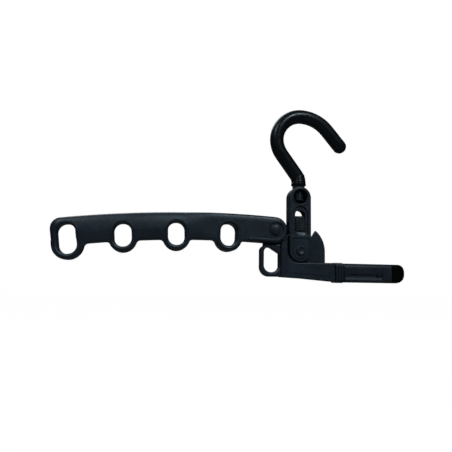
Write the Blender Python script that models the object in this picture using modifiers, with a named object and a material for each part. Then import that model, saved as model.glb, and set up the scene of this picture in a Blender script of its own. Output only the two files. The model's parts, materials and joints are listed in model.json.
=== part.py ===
"""Folding travel hanger with five holes, a swivelling hook and a brace.

The frame's origin is the point of the hook that sits on a rod or a door top.
+X runs along the brace, towards the wall it presses on, and +Z is up.
The front of the hanger faces -Y. All sizes are in metres.
"""

import math

import bmesh
import bpy
from mathutils import Vector

# Clearances
GAP = 0.0003            # between pieces that touch
OVERLAP = 0.0010        # how far joined shapes run into each other
FAR = 0.0300            # how far a cutter runs past the part
NEARLY = 0.999          # share of a half width that a round end's radius takes
SMALL_CORNER = 0.0008   # corners that only need to be broken
CHAMFER = 0.0005        # edges of turned pieces
ARC_STEP = math.radians(22.5)
SMALL_ARC_STEP = math.radians(30)
SMALL_ARC_R = 0.0040
LARGE_ARC_STEP = math.radians(15)
LARGE_ARC_R = 0.0200
SECTION_STEPS = 4       # steps round each corner of the brace's section
ROUND_STEPS = 20        # segments of a turned piece
SMALL_STEPS = 12        # segments of a small bore
SMALL_BORE_R = 0.0020

# Hook: a round bar, bent over the rod and back down to the swivel
HOOK_R = 0.0071         # radius of the bar
BEND_R = 0.0262         # centreline radius behind the rod
CREST_R = 0.0375        # centreline radius over the rod towards the tip
BEND_TURN = math.radians(126.5)
CREST_TURN = math.radians(49.5)
TIP_RUN = 0.0215        # straight run from the crest to the tip's round
BACK_RUN = 0.0269       # straight run down to the neck
NECK_R = 0.0120         # centreline radius of the neck's bend
NECK_RUN = 0.0008       # straight neck below its bend
COLLAR_R = 0.0076       # base of the hook
COLLAR_H = 0.0030
COLLAR_CHAMFER = 0.0004
BAR_RESOLUTION = 7      # of the bar's round section
TIP_STEPS = 5           # rings that round off a tip

# Swivel: a pin through the top of the link, with a barrel nut in its window
SWIVEL_PIN_R = 0.0028
SWIVEL_PIN_DEPTH = 0.014    # how far the pin reaches into the hook
SWIVEL_WASHER_R = 0.0060
SWIVEL_WASHER_T = 0.0006
SWIVEL_WALL = 0.0031        # wall of the link that carries the load
BARREL_R = 0.0043
BARREL_H = 0.0103
BARREL_FLANGE_R = 0.0052
BARREL_FLANGE_H = 0.0018

# Link: a clevis that hangs on the swivel and holds the bracket
LINK_HALF_W = 0.0112
LINK_T = 0.0140
LINK_LENGTH = 0.0543        # from the ring's centre to the pivot
LINK_BEVEL = 0.0011
LINK_BOSS_R = 0.0064        # flat seat under the hook
LINK_BOSS_H = 0.0005
LINK_BOSS_ROOT = 0.0019     # how deep the seat is sunk into the ring
SPOTFACE_DEPTH = 0.0060     # flat under the ring's top wall, for the washer
RING_WINDOW_R = 0.0075
RING_WINDOW_UP = 0.0007     # window's centre above the ring's centre
RING_BACK_T = 0.0011        # wall that closes the window at the rear
RING_RIM_W = 0.0013
RIM_H = 0.0007              # raised rims and bars
SLOT_T = 0.0074             # gap between the link's plates
SLOT_ABOVE = 0.0014         # slot's top above the bracket's sector
POCKET_STEP = 0.0001        # lock's pocket is this much narrower than the slot
POCKET_CORNER = 0.0012
LOCK_WINDOW_HALF_W = 0.0054
LOCK_WINDOW_BOTTOM = 0.0172 # height above the link's pivot
LOCK_RECESS_HALF_W = 0.0071
LOCK_RECESS_ABOVE = 0.0038  # recess above the window's top
LOCK_RECESS_D = 0.0010
LOCK_BAR_H = 0.0022         # raised bar under the lock's window
LOCK_POCKET_HALF_W = 0.0080
FOOT_RECESS_HALF_W = 0.0098
FOOT_RECESS_TOP = 0.0128
FOOT_RECESS_D = 0.0007
FOOT_DISC_R = 0.0082
FOOT_CORNER = 0.0015

# Lock slider: thumb pads on both faces, joined by a core between the plates
LOCK_PAD_H = 0.0153
LOCK_PAD_BOTTOM = 0.0198    # height above the link's pivot
LOCK_CORE_HALF_W = 0.0074
LOCK_CORE_H = 0.0072
LOCK_TRAVEL = 0.0060
LOCK_RIBS = 3
LOCK_RIB_H = 0.0006
LOCK_RIB_T = 0.0009
LOCK_RIB_HALF_W = 0.0037
LOCK_RIB_START = 0.0022     # first rib above the pad's lower end
LOCK_RIB_PITCH = 0.0032

# Pivots of the link and of the arm
PIN_R = 0.0030
PIN_HEAD_R = 0.0049
PIN_HEAD_H = 0.0016
CAP_H = 0.0018
CAP_BORE = 0.0012           # depth of the cap's bore, over the pin's end
WASHER_R = 0.0078
WASHER_T = 0.0005

# Bracket: a web between the plates, with a loop, a wall and a beam
WEB_T = 0.0052
BODY_T = 0.0160
BODY_BEVEL = 0.0012
ARM_PIVOT_ASIDE = 0.0260    # arm's pivot from the link's, to the left
ARM_PIVOT_UP = 0.0203
SECTOR_R = 0.0276
SECTOR_TIP = math.radians(49.5)
SECTOR_FOOT = math.radians(46)
TONGUE_R = 0.0193
TONGUE_END = math.radians(128)
EAR_R = 0.0114
EAR_START = math.radians(-20)
EAR_END = math.radians(188)
WEB_ROOT = 0.0030           # how far the web is sunk into wall and beam
NEST_GAP = 0.0025           # between the link's side and the bracket's wall
NEST_R = 0.0119
BEAM_DROP = 0.0123          # beam's top below the link's pivot
BEAM_END_X = 0.0336
BEAM_END_H = 0.0192
BEAM_ROOT_H = 0.0159
BEAM_BEND_X = 0.0032        # where the beam's lower line turns, from the link's axis
BEAM_BEND_R = 0.0500
WALL_W = 0.0071             # wall between hole five and the link
WALL_INSET = 0.0006         # wall's left side from hole five's edge
WALL_FOOT_R = 0.0020
CUP_START = math.radians(-30)
LOOP_T = 0.0100
LOOP_BEVEL = 0.0013
LOOP_SIDE_W = 0.0036
LOOP_FLOOR = 0.0046
LOOP_CORNER_R = 0.0095
LOOP_TOP_R = 0.0055
LOOP_ROOT = 0.0040          # how far the loop is sunk into the wall
SHOULDER_ASIDE = 0.0048     # shoulder's end from the loop's left side
SHOULDER_STEP = 0.0018      # the loop's outline leaves the shoulder this far below it
SHOULDER_SLANT = 0.0036     # and meets the loop's left side this far below it
HOLE_FIVE_W = 0.0163
HOLE_FIVE_H = 0.0246
HOLE_FIVE_DROP = 0.0037     # below the shoulder that the arm rests on
HOLE_FIVE_FLAT = 0.0062     # its level top, before the slant
HOLE_FIVE_SLANT = 0.0062    # how far the slant comes down
HOLE_FIVE_TOP_R = 0.0045
HOLE_FIVE_SLANT_R = 0.0025
HOLE_FIVE_LOW_R = 0.0070

# Brace: the beam's spar, and a sleeve that slides out along it
SPAR_END_X = 0.0840
SPAR_H = 0.0148
SPAR_T = 0.0134
SPAR_CORNER = 0.0022
SPAR_ROOT = 0.0040
SPAR_END_CHAMFER = 0.0010
SLEEVE_WALL = 0.0020
SLEEVE_END_X = 0.0950
SLEEVE_CORNER = 0.0042
SLEEVE_CHAMFER = 0.0005
COLLAR_LENGTH = 0.0087
COLLAR_PROUD = 0.0006
COLLAR_GROOVE = 0.0005      # grooves' floor below the sleeve's surface
COLLAR_RIBS = 3
RIB_START = 0.6             # shares of a rib's pitch: where its crest starts
RIB_END = 2.0               # and where it ends
TIP_END_X = 0.1122
TIP_LOW_RUN = 0.0125        # how far the tip's long rounding below runs along it
TIP_LOW_RISE = 0.0088       # and how high it comes up
TIP_TOP_RUN = 0.0090        # the shorter rounding above
TIP_TOP_DROP = 0.0070
TIP_PLUG = 0.0090
BRACE_TRAVEL = 0.0300
STOP_PIN_R = 0.0013
STOP_PIN_X = 0.0800
STOP_SLOT_HALF_H = 0.0016
STOP_SLOT_DROP = 0.0026     # below the sleeve's middle
STOP_PIN_DEPTH = 0.0040     # how far the pin sits in the spar
STOP_PIN_CHAMFER = 0.0003
STOP_PIN_SUNK = 0.0005      # below the sleeve's front face

# Arm: an arched bar of two shells, with four holes in hanging lobes
ARM_T = 0.0170
ARM_CROWN_ASIDE = 0.0622            # top edge's highest point from the arm's pivot
ARM_CROWN_UP = 0.0148
ARM_ARC_R = 1.0650                  # radius of the top edge
ARM_H = 0.0268
ARM_BEVEL = 0.0020
ARM_END_R = 0.0130
ARM_END_GAP = 0.0127                # arm's round end to the pivot
HOLE_PITCH = 0.0521                 # along the arm's top edge
HOLE_FOUR_OFFSET = 0.0472           # from the arm's pivot
HOLES = 4
HOLE_W = 0.0168
HOLE_TOP = 0.0100                   # below the arm's top edge
HOLE_FLOOR = 0.0058                 # lobe's wall under its hole
LOBE_HALF_W = 0.0136
LOBE_DROP = 0.0112                  # lobe's bottom below the arm's lower edge
END_HOLE_W = 0.0176
END_HOLE_TOP = 0.0068
END_HOLE_FLOOR = 0.0056
END_LOBE_HALF_W = 0.0150
END_LOBE_DROP = 0.0138
LOBE_FILLET = 0.0045
ARM_CORNER_R = 0.0105               # upper corner at the arm's tip
ARM_CHORD = 0.0120                  # longest straight step along the arm's arc
RIM_W = 0.0022
HOLE_ROUND = 0.95                   # share of a hole's half width that its corners take
FORK_CLEAR = 0.0006
FORK_MOUTH = math.radians(45)   # how far up the arm's round end its fork is open
POCKET_WALL = 0.0028
ARM_SKIN = 0.0026
BOSS_R = 0.0036
SCREW_R = 0.0014
SCREW_HEAD_R = 0.0029
SCREW_HEAD_H = 0.0019
SCREW_CHAMFER = 0.0004
SCREW_DEPTH = 0.0040                # into the front shell

# What follows from the sizes above
NECK_LEAN = BEND_TURN - math.pi / 2
AXIS_X = (NECK_R - (BEND_R + NECK_R) * math.cos(NECK_LEAN)
          + BACK_RUN * math.sin(NECK_LEAN))
NECK_Z = (HOOK_R - BEND_R - (BEND_R + NECK_R) * math.sin(NECK_LEAN)
          - BACK_RUN * math.cos(NECK_LEAN))
HOOK_BASE_Z = NECK_Z - NECK_RUN - COLLAR_H
SEAT_Z = HOOK_BASE_Z - SWIVEL_WASHER_T - 2 * GAP
RING_Z = SEAT_Z - LINK_BOSS_H - LINK_HALF_W
LINK_PIVOT = (AXIS_X, RING_Z - LINK_LENGTH)
LOCK_WINDOW_TOP = LOCK_PAD_BOTTOM + LOCK_PAD_H + LOCK_TRAVEL + 2 * GAP
ARM_PIVOT = (AXIS_X - ARM_PIVOT_ASIDE, LINK_PIVOT[1] + ARM_PIVOT_UP)
ARM_CROWN = (ARM_PIVOT[0] - ARM_CROWN_ASIDE, ARM_PIVOT[1] + ARM_CROWN_UP)
BEAM_TOP = LINK_PIVOT[1] - BEAM_DROP
WALL_RIGHT = AXIS_X - LINK_HALF_W - NEST_GAP
SLEEVE_X = BEAM_END_X + GAP + COLLAR_LENGTH + GAP
SLEEVE_H = SPAR_H + 2 * GAP + 2 * SLEEVE_WALL
SLEEVE_T = SPAR_T + 2 * GAP + 2 * SLEEVE_WALL
BRACE_Z = BEAM_TOP + GAP - BEAM_END_H / 2

PARTS = "five_hole_hanger"
CUTTERS = "cutters"


def clear_scene():
    for thing in list(bpy.data.objects):
        bpy.data.objects.remove(thing, do_unlink=True)


def collection(name):
    found = bpy.data.collections.new(name)
    bpy.context.scene.collection.children.link(found)
    return found


def material(name, colour, roughness, metallic=0.0):
    made = bpy.data.materials.new(name)
    made.use_nodes = True
    shader = made.node_tree.nodes["Principled BSDF"]
    shader.inputs["Base Color"].default_value = (*colour, 1.0)
    shader.inputs["Roughness"].default_value = roughness
    shader.inputs["Metallic"].default_value = metallic
    return made


def add_object(name, mesh, group, finish=None):
    made = bpy.data.objects.new(name, mesh)
    group.objects.link(made)
    if finish:
        mesh.materials.clear()
        mesh.materials.append(finish)
    return made


def hide_cutter(cutter):
    cutter.hide_render = True
    cutter.display_type = "WIRE"
    return cutter


def smooth(thing, angle=35):
    """Smooth shading that keeps the large flat faces flat."""
    thing.data.shade_smooth()
    thing.data.set_sharp_from_angle(angle=math.radians(angle))
    even = thing.modifiers.new("even shading", "WEIGHTED_NORMAL")
    even.keep_sharp = True
    return thing


# Outlines, as lists of (x, z) points

def polar(centre, radius, angle):
    return (centre[0] + radius * math.cos(angle), centre[1] + radius * math.sin(angle))


def arc(centre, radius, start, end):
    step = ARC_STEP
    if radius < SMALL_ARC_R:
        step = SMALL_ARC_STEP
    if radius > LARGE_ARC_R:
        step = LARGE_ARC_STEP
    count = max(2, math.ceil(abs(end - start) / step - 0.01))
    return [polar(centre, radius, start + (end - start) * i / count) for i in range(count + 1)]


def circle(centre, radius):
    return arc(centre, radius, 0.0, 2 * math.pi)[:-1]


def rounded(corners):
    """Polygon of (x, z, radius) corners, each replaced by an arc of its radius."""
    points = []
    for i, (x, z, radius) in enumerate(corners):
        here = Vector((x, z))
        before = Vector(corners[i - 1][:2]) - here
        after = Vector(corners[(i + 1) % len(corners)][:2]) - here
        if radius == 0:
            points.append((x, z))
            continue
        half = before.angle(after) / 2
        reach = radius / math.tan(half)
        inward = (before.normalized() + after.normalized()).normalized()
        middle = here + inward * radius / math.sin(half)
        first = here + before.normalized() * reach - middle
        last = here + after.normalized() * reach - middle
        turn = math.atan2(first.x * last.y - first.y * last.x, first.dot(last))
        start = math.atan2(first.y, first.x)
        points += arc(middle, radius, start, start + turn)
    return points


def upright_slot(x, bottom, top, half_width):
    """Outline of a slot with round ends."""
    round_r = half_width * NEARLY
    return box_outline(x - half_width, x + half_width, bottom, top, round_r)


def box_outline(x_low, x_high, z_low, z_high, radius=0.0):
    return rounded([(x_low, z_low, radius), (x_high, z_low, radius),
                    (x_high, z_high, radius), (x_low, z_high, radius)])


# Solids

def plate(name, loops, front, back, group, finish=None, origin=(0.0, 0.0), bevel=0.0):
    """Flat solid from closed outlines in the XZ plane, between two values of y."""
    drawing = bpy.data.curves.new(name, "CURVE")
    drawing.dimensions = "2D"
    drawing.fill_mode = "BOTH"
    drawing.extrude = (back - front) / 2
    for loop in loops:
        spline = drawing.splines.new("POLY")
        spline.points.add(len(loop) - 1)
        for point, (x, z) in zip(spline.points, loop):
            point.co = (x - origin[0], z - origin[1], 0.0, 1.0)
        spline.use_cyclic_u = True
    guide = bpy.data.objects.new(name, drawing)
    group.objects.link(guide)
    guide.location = (origin[0], (front + back) / 2, origin[1])
    guide.rotation_euler = (math.pi / 2, 0.0, 0.0)
    solid = mesh_from_curve(guide, group, finish)
    if bevel:
        add_bevel(solid, bevel)
    return solid


def mesh_from_curve(guide, group, finish):
    bpy.context.view_layer.update()
    seen = guide.evaluated_get(bpy.context.evaluated_depsgraph_get())
    mesh = bpy.data.meshes.new_from_object(seen)
    shape = bmesh.new()
    shape.from_mesh(mesh)
    bmesh.ops.remove_doubles(shape, verts=shape.verts, dist=0.000001)
    bmesh.ops.recalc_face_normals(shape, faces=shape.faces)
    shape.to_mesh(mesh)
    shape.free()
    name = guide.name
    placed = guide.matrix_world.copy()
    bpy.data.objects.remove(guide, do_unlink=True)
    solid = add_object(name, mesh, group, finish)
    solid.matrix_world = placed
    return solid


def add_bevel(solid, width, segments=2):
    edge = solid.modifiers.new("rounded edges", "BEVEL")
    edge.width = width
    edge.segments = segments
    edge.limit_method = "ANGLE"
    edge.angle_limit = math.radians(50)


def turned(name, profile, location, group, finish=None, along_y=False, steps=ROUND_STEPS):
    """Turned solid: (radius, height) points down the outer side, about local Z."""
    mesh = bpy.data.meshes.new(name)
    closed = profile[0][0] > 0
    edges = [(i, i + 1) for i in range(len(profile) - 1)]
    if closed:
        edges.append((len(profile) - 1, 0))
    mesh.from_pydata([(r, 0.0, h) for r, h in profile], edges, [])
    solid = add_object(name, mesh, group, finish)
    solid.location = location
    if along_y:
        solid.rotation_euler = (math.pi / 2, 0.0, 0.0)
    spin = solid.modifiers.new("turned", "SCREW")
    spin.steps = steps
    spin.render_steps = steps
    spin.use_merge_vertices = True
    spin.merge_threshold = 0.00001
    spin.use_smooth_shade = True
    return solid


def disc_profile(radius, low, high, chamfer):
    return [(0.0, high), (radius - chamfer, high), (radius, high - chamfer),
            (radius, low + chamfer), (radius - chamfer, low), (0.0, low)]


def washer_profile(radius, bore, low, high):
    return [(radius, high), (radius, low), (bore, low), (bore, high)]


def rod_cutter(name, radius, centre, length, group, along_y=True):
    steps = ROUND_STEPS if radius > SMALL_BORE_R else SMALL_STEPS
    bpy.ops.mesh.primitive_cylinder_add(vertices=steps, radius=radius, depth=length)
    rod = bpy.context.active_object
    rod.name = name
    rod.location = centre
    if along_y:
        rod.rotation_euler = (math.pi / 2, 0.0, 0.0)
    for holder in list(rod.users_collection):
        holder.objects.unlink(rod)
    group.objects.link(rod)
    return rod


def section(half_y, half_z, corner):
    """Rounded rectangle with the same number of points whatever its corner."""
    points = []
    for quarter, (side_y, side_z) in enumerate(((1, 1), (-1, 1), (-1, -1), (1, -1))):
        middle = (side_y * (half_y - corner), side_z * (half_z - corner))
        for i in range(SECTION_STEPS + 1):
            points.append(polar(middle, corner, (quarter + i / SECTION_STEPS) * math.pi / 2))
    return points


def loft(name, stations, group, finish=None, origin=(0.0, 0.0, 0.0)):
    """Solid along X through rounded rectangles: (x, half_y, half_z, corner), or with a rise in z."""
    shape = bmesh.new()
    rings = []
    for x, half_y, half_z, corner, *rise in stations:
        up = sum(rise)
        rings.append([shape.verts.new((x, y, z + up)) for y, z in section(half_y, half_z, corner)])
    for low, high in zip(rings, rings[1:]):
        for i in range(len(low)):
            j = (i + 1) % len(low)
            shape.faces.new((low[i], low[j], high[j], high[i]))
    shape.faces.new(list(reversed(rings[0])))
    shape.faces.new(rings[-1])
    bmesh.ops.recalc_face_normals(shape, faces=shape.faces)
    mesh = bpy.data.meshes.new(name)
    shape.to_mesh(mesh)
    shape.free()
    solid = add_object(name, mesh, group, finish)
    solid.location = origin
    return solid


def combine(solid, other, how):
    step = solid.modifiers.new(how.lower() + " " + other.name, "BOOLEAN")
    step.operation = how
    step.object = other
    hide_cutter(other)


def cut(solid, *others):
    for other in others:
        combine(solid, other, "DIFFERENCE")


def join(solid, *others):
    for other in others:
        combine(solid, other, "UNION")


# Hook and swivel

def hook_path():
    """Centreline from the tip's round to the foot of the neck, as (x, z) points."""
    crest = arc((0.0, HOOK_R - CREST_R), CREST_R, math.pi / 2 - CREST_TURN, math.pi / 2)
    bend = arc((0.0, HOOK_R - BEND_R), BEND_R, math.pi / 2, math.pi / 2 + BEND_TURN)
    tip = Vector(crest[0]) + Vector((math.cos(-CREST_TURN), math.sin(-CREST_TURN))) * TIP_RUN
    neck = arc((AXIS_X - NECK_R, NECK_Z), NECK_R, NECK_LEAN, 0.0)
    return [tuple(tip)] + crest + bend[1:] + neck


def hook(parts, cutters, plastic):
    """Bent round bar with a rounded tip and a stepped base above the link."""
    path = hook_path()
    sizes = [1.0] * len(path)
    tip = Vector(path[0])
    along = (tip - Vector(path[1])).normalized()
    for step in range(1, TIP_STEPS + 1):
        angle = math.pi / 2 * step / (TIP_STEPS + 1)
        path.insert(0, tuple(tip + along * HOOK_R * math.sin(angle)))
        sizes.insert(0, math.cos(angle))
    collar = COLLAR_R / HOOK_R
    collar_end = (COLLAR_R - COLLAR_CHAMFER) / HOOK_R
    collar_top = HOOK_BASE_Z + COLLAR_H
    for z, size in ((collar_top + COLLAR_CHAMFER, 1.0), (collar_top, collar),
                    (HOOK_BASE_Z + COLLAR_CHAMFER, collar), (HOOK_BASE_Z, collar_end)):
        path.append((AXIS_X, z))
        sizes.append(size)
    bar = bpy.data.curves.new("hook", "CURVE")
    bar.dimensions = "3D"
    bar.bevel_depth = HOOK_R
    bar.bevel_resolution = BAR_RESOLUTION
    bar.use_fill_caps = True
    spline = bar.splines.new("POLY")
    spline.points.add(len(path) - 1)
    for point, (x, z), size in zip(spline.points, path, sizes):
        point.co = (x, 0.0, z, 1.0)
        point.radius = size
    guide = bpy.data.objects.new("hook", bar)
    parts.objects.link(guide)
    solid = mesh_from_curve(guide, parts, plastic)
    bore_depth = SWIVEL_PIN_DEPTH + 2 * GAP
    cut(solid, rod_cutter("hook_bore", SWIVEL_PIN_R + GAP, (AXIS_X, 0.0, HOOK_BASE_Z), 2 * bore_depth,
                          cutters, along_y=False))
    return smooth(solid)


def swivel(parts, steel, plastic):
    """Pin through the link's top wall, its barrel nut below, and a washer on each side."""
    wall_bottom = SEAT_Z - SWIVEL_WALL
    barrel_top = wall_bottom - 2 * GAP - SWIVEL_WASHER_T
    barrel_low = barrel_top - BARREL_H
    pin_low = barrel_low + BARREL_FLANGE_H
    bore = SWIVEL_PIN_R + GAP
    axis = (AXIS_X, 0.0, 0.0)
    pin = disc_profile(SWIVEL_PIN_R, pin_low, HOOK_BASE_Z + SWIVEL_PIN_DEPTH, CHAMFER)
    barrel = [(0.0, pin_low - GAP), (bore, pin_low - GAP), (bore, barrel_top),
              (BARREL_R - CHAMFER, barrel_top), (BARREL_R, barrel_top - CHAMFER), (BARREL_R, pin_low),
              (BARREL_FLANGE_R, pin_low), (BARREL_FLANGE_R, barrel_low), (0.0, barrel_low)]
    top = washer_profile(SWIVEL_WASHER_R, bore, SEAT_Z + GAP, SEAT_Z + GAP + SWIVEL_WASHER_T)
    low = washer_profile(BARREL_R, bore, barrel_top + GAP, barrel_top + GAP + SWIVEL_WASHER_T)
    turned("swivel_pin", pin, axis, parts, steel)
    turned("swivel_barrel", barrel, axis, parts, plastic)
    turned("swivel_washer_top", top, axis, parts, steel)
    turned("swivel_washer_bottom", low, axis, parts, steel)


# Link and lock

def link_height(up):
    return LINK_PIVOT[1] + up


def link(parts, cutters, plastic):
    """Clevis with a ring at its top, the lock's window below it and a slot for the bracket."""
    half = LINK_T / 2
    outline = upright_slot(AXIS_X, LINK_PIVOT[1] - LINK_HALF_W, RING_Z + LINK_HALF_W, LINK_HALF_W)
    solid = plate("link", [outline], -half, half, parts, plastic, LINK_PIVOT, LINK_BEVEL)
    boss_h = LINK_BOSS_H + LINK_BOSS_ROOT
    join(solid, rod_cutter("link_seat", LINK_BOSS_R, (AXIS_X, 0.0, SEAT_Z - boss_h / 2), boss_h, cutters,
                           along_y=False))
    window_low = link_height(LOCK_WINDOW_BOTTOM)
    window_top = link_height(LOCK_WINDOW_TOP)
    window = arch_outline(LOCK_WINDOW_HALF_W, window_low + GAP, window_top, SMALL_CORNER)
    slot_top = link_height(SECTOR_R + SLOT_ABOVE)
    slot = box_outline(AXIS_X - FAR, AXIS_X + FAR, LINK_PIVOT[1] - FAR, slot_top)
    pocket = box_outline(AXIS_X - LOCK_POCKET_HALF_W, AXIS_X + LOCK_POCKET_HALF_W,
                         slot_top - OVERLAP, window_top, POCKET_CORNER)
    slot_y = SLOT_T / 2
    pocket_y = slot_y - POCKET_STEP
    ring_centre = (AXIS_X, RING_Z + RING_WINDOW_UP)
    cut(solid,
        plate("ring_window", [circle(ring_centre, RING_WINDOW_R)], -FAR, half - RING_BACK_T, cutters),
        plate("lock_window", [window], -FAR, FAR, cutters),
        rod_cutter("link_pin_hole", PIN_R + GAP, (AXIS_X, 0.0, LINK_PIVOT[1]), 2 * FAR, cutters),
        plate("link_slot", [slot], -slot_y, slot_y, cutters),
        plate("lock_pocket", [pocket], -pocket_y, pocket_y, cutters))
    wall_bottom = SEAT_Z - SWIVEL_WALL
    spotface_z = wall_bottom - SPOTFACE_DEPTH / 2
    cut(solid,
        rod_cutter("swivel_hole", SWIVEL_PIN_R + GAP, (AXIS_X, 0.0, SEAT_Z), 4 * SWIVEL_WALL, cutters,
                   along_y=False),
        rod_cutter("swivel_spotface", BARREL_FLANGE_R + 2 * GAP, (AXIS_X, 0.0, spotface_z), SPOTFACE_DEPTH,
                   cutters, along_y=False))
    link_faces(solid, ring_centre, window_low, window_top, cutters)
    return smooth(solid)


def arch_outline(half_width, bottom, top, foot_radius):
    """Outline about the link's axis with a round top and a nearly square foot."""
    left = AXIS_X - half_width
    right = AXIS_X + half_width
    return rounded([(left, bottom, foot_radius), (right, bottom, foot_radius),
                    (right, top, half_width * NEARLY), (left, top, half_width * NEARLY)])


def link_faces(solid, ring_centre, window_low, window_top, cutters):
    """Raised rims and shallow recesses on the link's front and rear faces."""
    half = LINK_T / 2
    lock_recess = arch_outline(LOCK_RECESS_HALF_W, window_low, window_top + LOCK_RECESS_ABOVE, SMALL_CORNER)
    foot_w = FOOT_RECESS_HALF_W
    foot_low = LINK_PIVOT[1] - foot_w
    foot_top = link_height(FOOT_RECESS_TOP)
    foot = rounded([(AXIS_X - foot_w, foot_low, foot_w * NEARLY), (AXIS_X + foot_w, foot_low, foot_w * NEARLY),
                    (AXIS_X + foot_w, foot_top, FOOT_CORNER), (AXIS_X - foot_w, foot_top, FOOT_CORNER)])
    disc = circle(LINK_PIVOT, FOOT_DISC_R)
    rim = [circle(ring_centre, RING_WINDOW_R + RING_RIM_W), circle(ring_centre, RING_WINDOW_R + GAP)]
    bar = box_outline(AXIS_X - LOCK_WINDOW_HALF_W, AXIS_X + LOCK_WINDOW_HALF_W,
                      window_low - LOCK_BAR_H, window_low - GAP)
    for side, out in (("front", -1), ("rear", 1)):
        face = out * half
        proud = sorted((face + out * RIM_H, face - out * OVERLAP))
        deep = sorted((face + out * FAR, face - out * LOCK_RECESS_D))
        shallow = sorted((face + out * FAR, face - out * FOOT_RECESS_D))
        cut(solid, plate("lock_recess_" + side, [lock_recess], *deep, cutters),
            plate("foot_recess_" + side, [foot, disc], *shallow, cutters))
        join(solid, plate("link_rim_" + side, rim, *proud, cutters),
             plate("link_bar_" + side, [bar], *proud, cutters))


def lock_slider(parts, cutters, plastic):
    """Two thumb pads, and the core that joins them between the link's plates."""
    low = link_height(LOCK_PAD_BOTTOM)
    high = low + LOCK_PAD_H
    half = LOCK_WINDOW_HALF_W - GAP
    face = LINK_T / 2 - GAP
    core_y = SLOT_T / 2 - 2 * GAP
    pad_y = core_y + GAP
    core_low = link_height(SECTOR_R + 2 * GAP)
    core_top = core_low + LOCK_CORE_H
    core = box_outline(AXIS_X - LOCK_CORE_HALF_W, AXIS_X + LOCK_CORE_HALF_W, core_low, core_top, SMALL_CORNER)
    solid = plate("lock_slider", [core], -core_y, core_y, parts, plastic, (AXIS_X, low), GAP)
    pad = rounded([(AXIS_X - half, low, SMALL_CORNER), (AXIS_X + half, low, SMALL_CORNER),
                   (AXIS_X + half, high, half * NEARLY), (AXIS_X - half, high, half * NEARLY)])
    inset = SMALL_CORNER
    bridge = arch_outline(half - inset, core_low + inset, core_top - inset, 0.0)
    for side, out in (("front", -1), ("rear", 1)):
        pad_span = sorted((out * pad_y, out * face))
        bridge_span = sorted((out * (core_y - OVERLAP), out * (pad_y + OVERLAP)))
        join(solid, plate("lock_bridge_" + side, [bridge], *bridge_span, cutters),
             plate("lock_pad_" + side, [pad], *pad_span, cutters))
        rib_span = sorted((out * (face - OVERLAP), out * (face + LOCK_RIB_H)))
        for i in range(LOCK_RIBS):
            z = low + LOCK_RIB_START + i * LOCK_RIB_PITCH
            rib = box_outline(AXIS_X - LOCK_RIB_HALF_W, AXIS_X + LOCK_RIB_HALF_W, z, z + LOCK_RIB_T)
            join(solid, plate("lock_rib_%s_%d" % (side, i + 1), [rib], *rib_span, cutters))
    return smooth(solid)


# Pivots

def pivot(name, at, half_thickness, parts, steel, plastic):
    """Headed pin, the cap pushed on its rear end, and two washers beside the web."""
    place = (at[0], 0.0, at[1])
    head = half_thickness + GAP
    head_top = head + PIN_HEAD_H
    pin_end = -head - CAP_BORE + GAP
    pin = [(0.0, head_top), (PIN_HEAD_R - CHAMFER, head_top), (PIN_HEAD_R, head_top - CHAMFER),
           (PIN_HEAD_R, head), (PIN_R, head), (PIN_R, pin_end), (0.0, pin_end)]
    bore = PIN_R + GAP
    cap_end = -head - CAP_H
    cap = [(0.0, -head - CAP_BORE), (bore, -head - CAP_BORE), (bore, -head), (PIN_HEAD_R, -head),
           (PIN_HEAD_R, cap_end + CHAMFER), (PIN_HEAD_R - CHAMFER, cap_end), (0.0, cap_end)]
    turned(name + "_pin", pin, place, parts, plastic, along_y=True)
    turned(name + "_cap", cap, place, parts, plastic, along_y=True)
    low = WEB_T / 2 + GAP
    rings = {"front": washer_profile(WASHER_R, bore, low, low + WASHER_T),
             "rear": washer_profile(WASHER_R, bore, -low - WASHER_T, -low)}
    for side, ring in rings.items():
        turned("%s_washer_%s" % (name, side), ring, place, parts, steel, along_y=True)


# Bracket

def shoulder_z(x):
    """Top of the bracket's shoulder, just under the arm's lower edge."""
    return arm_point_at_x(x, ARM_H)[1] - GAP


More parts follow.
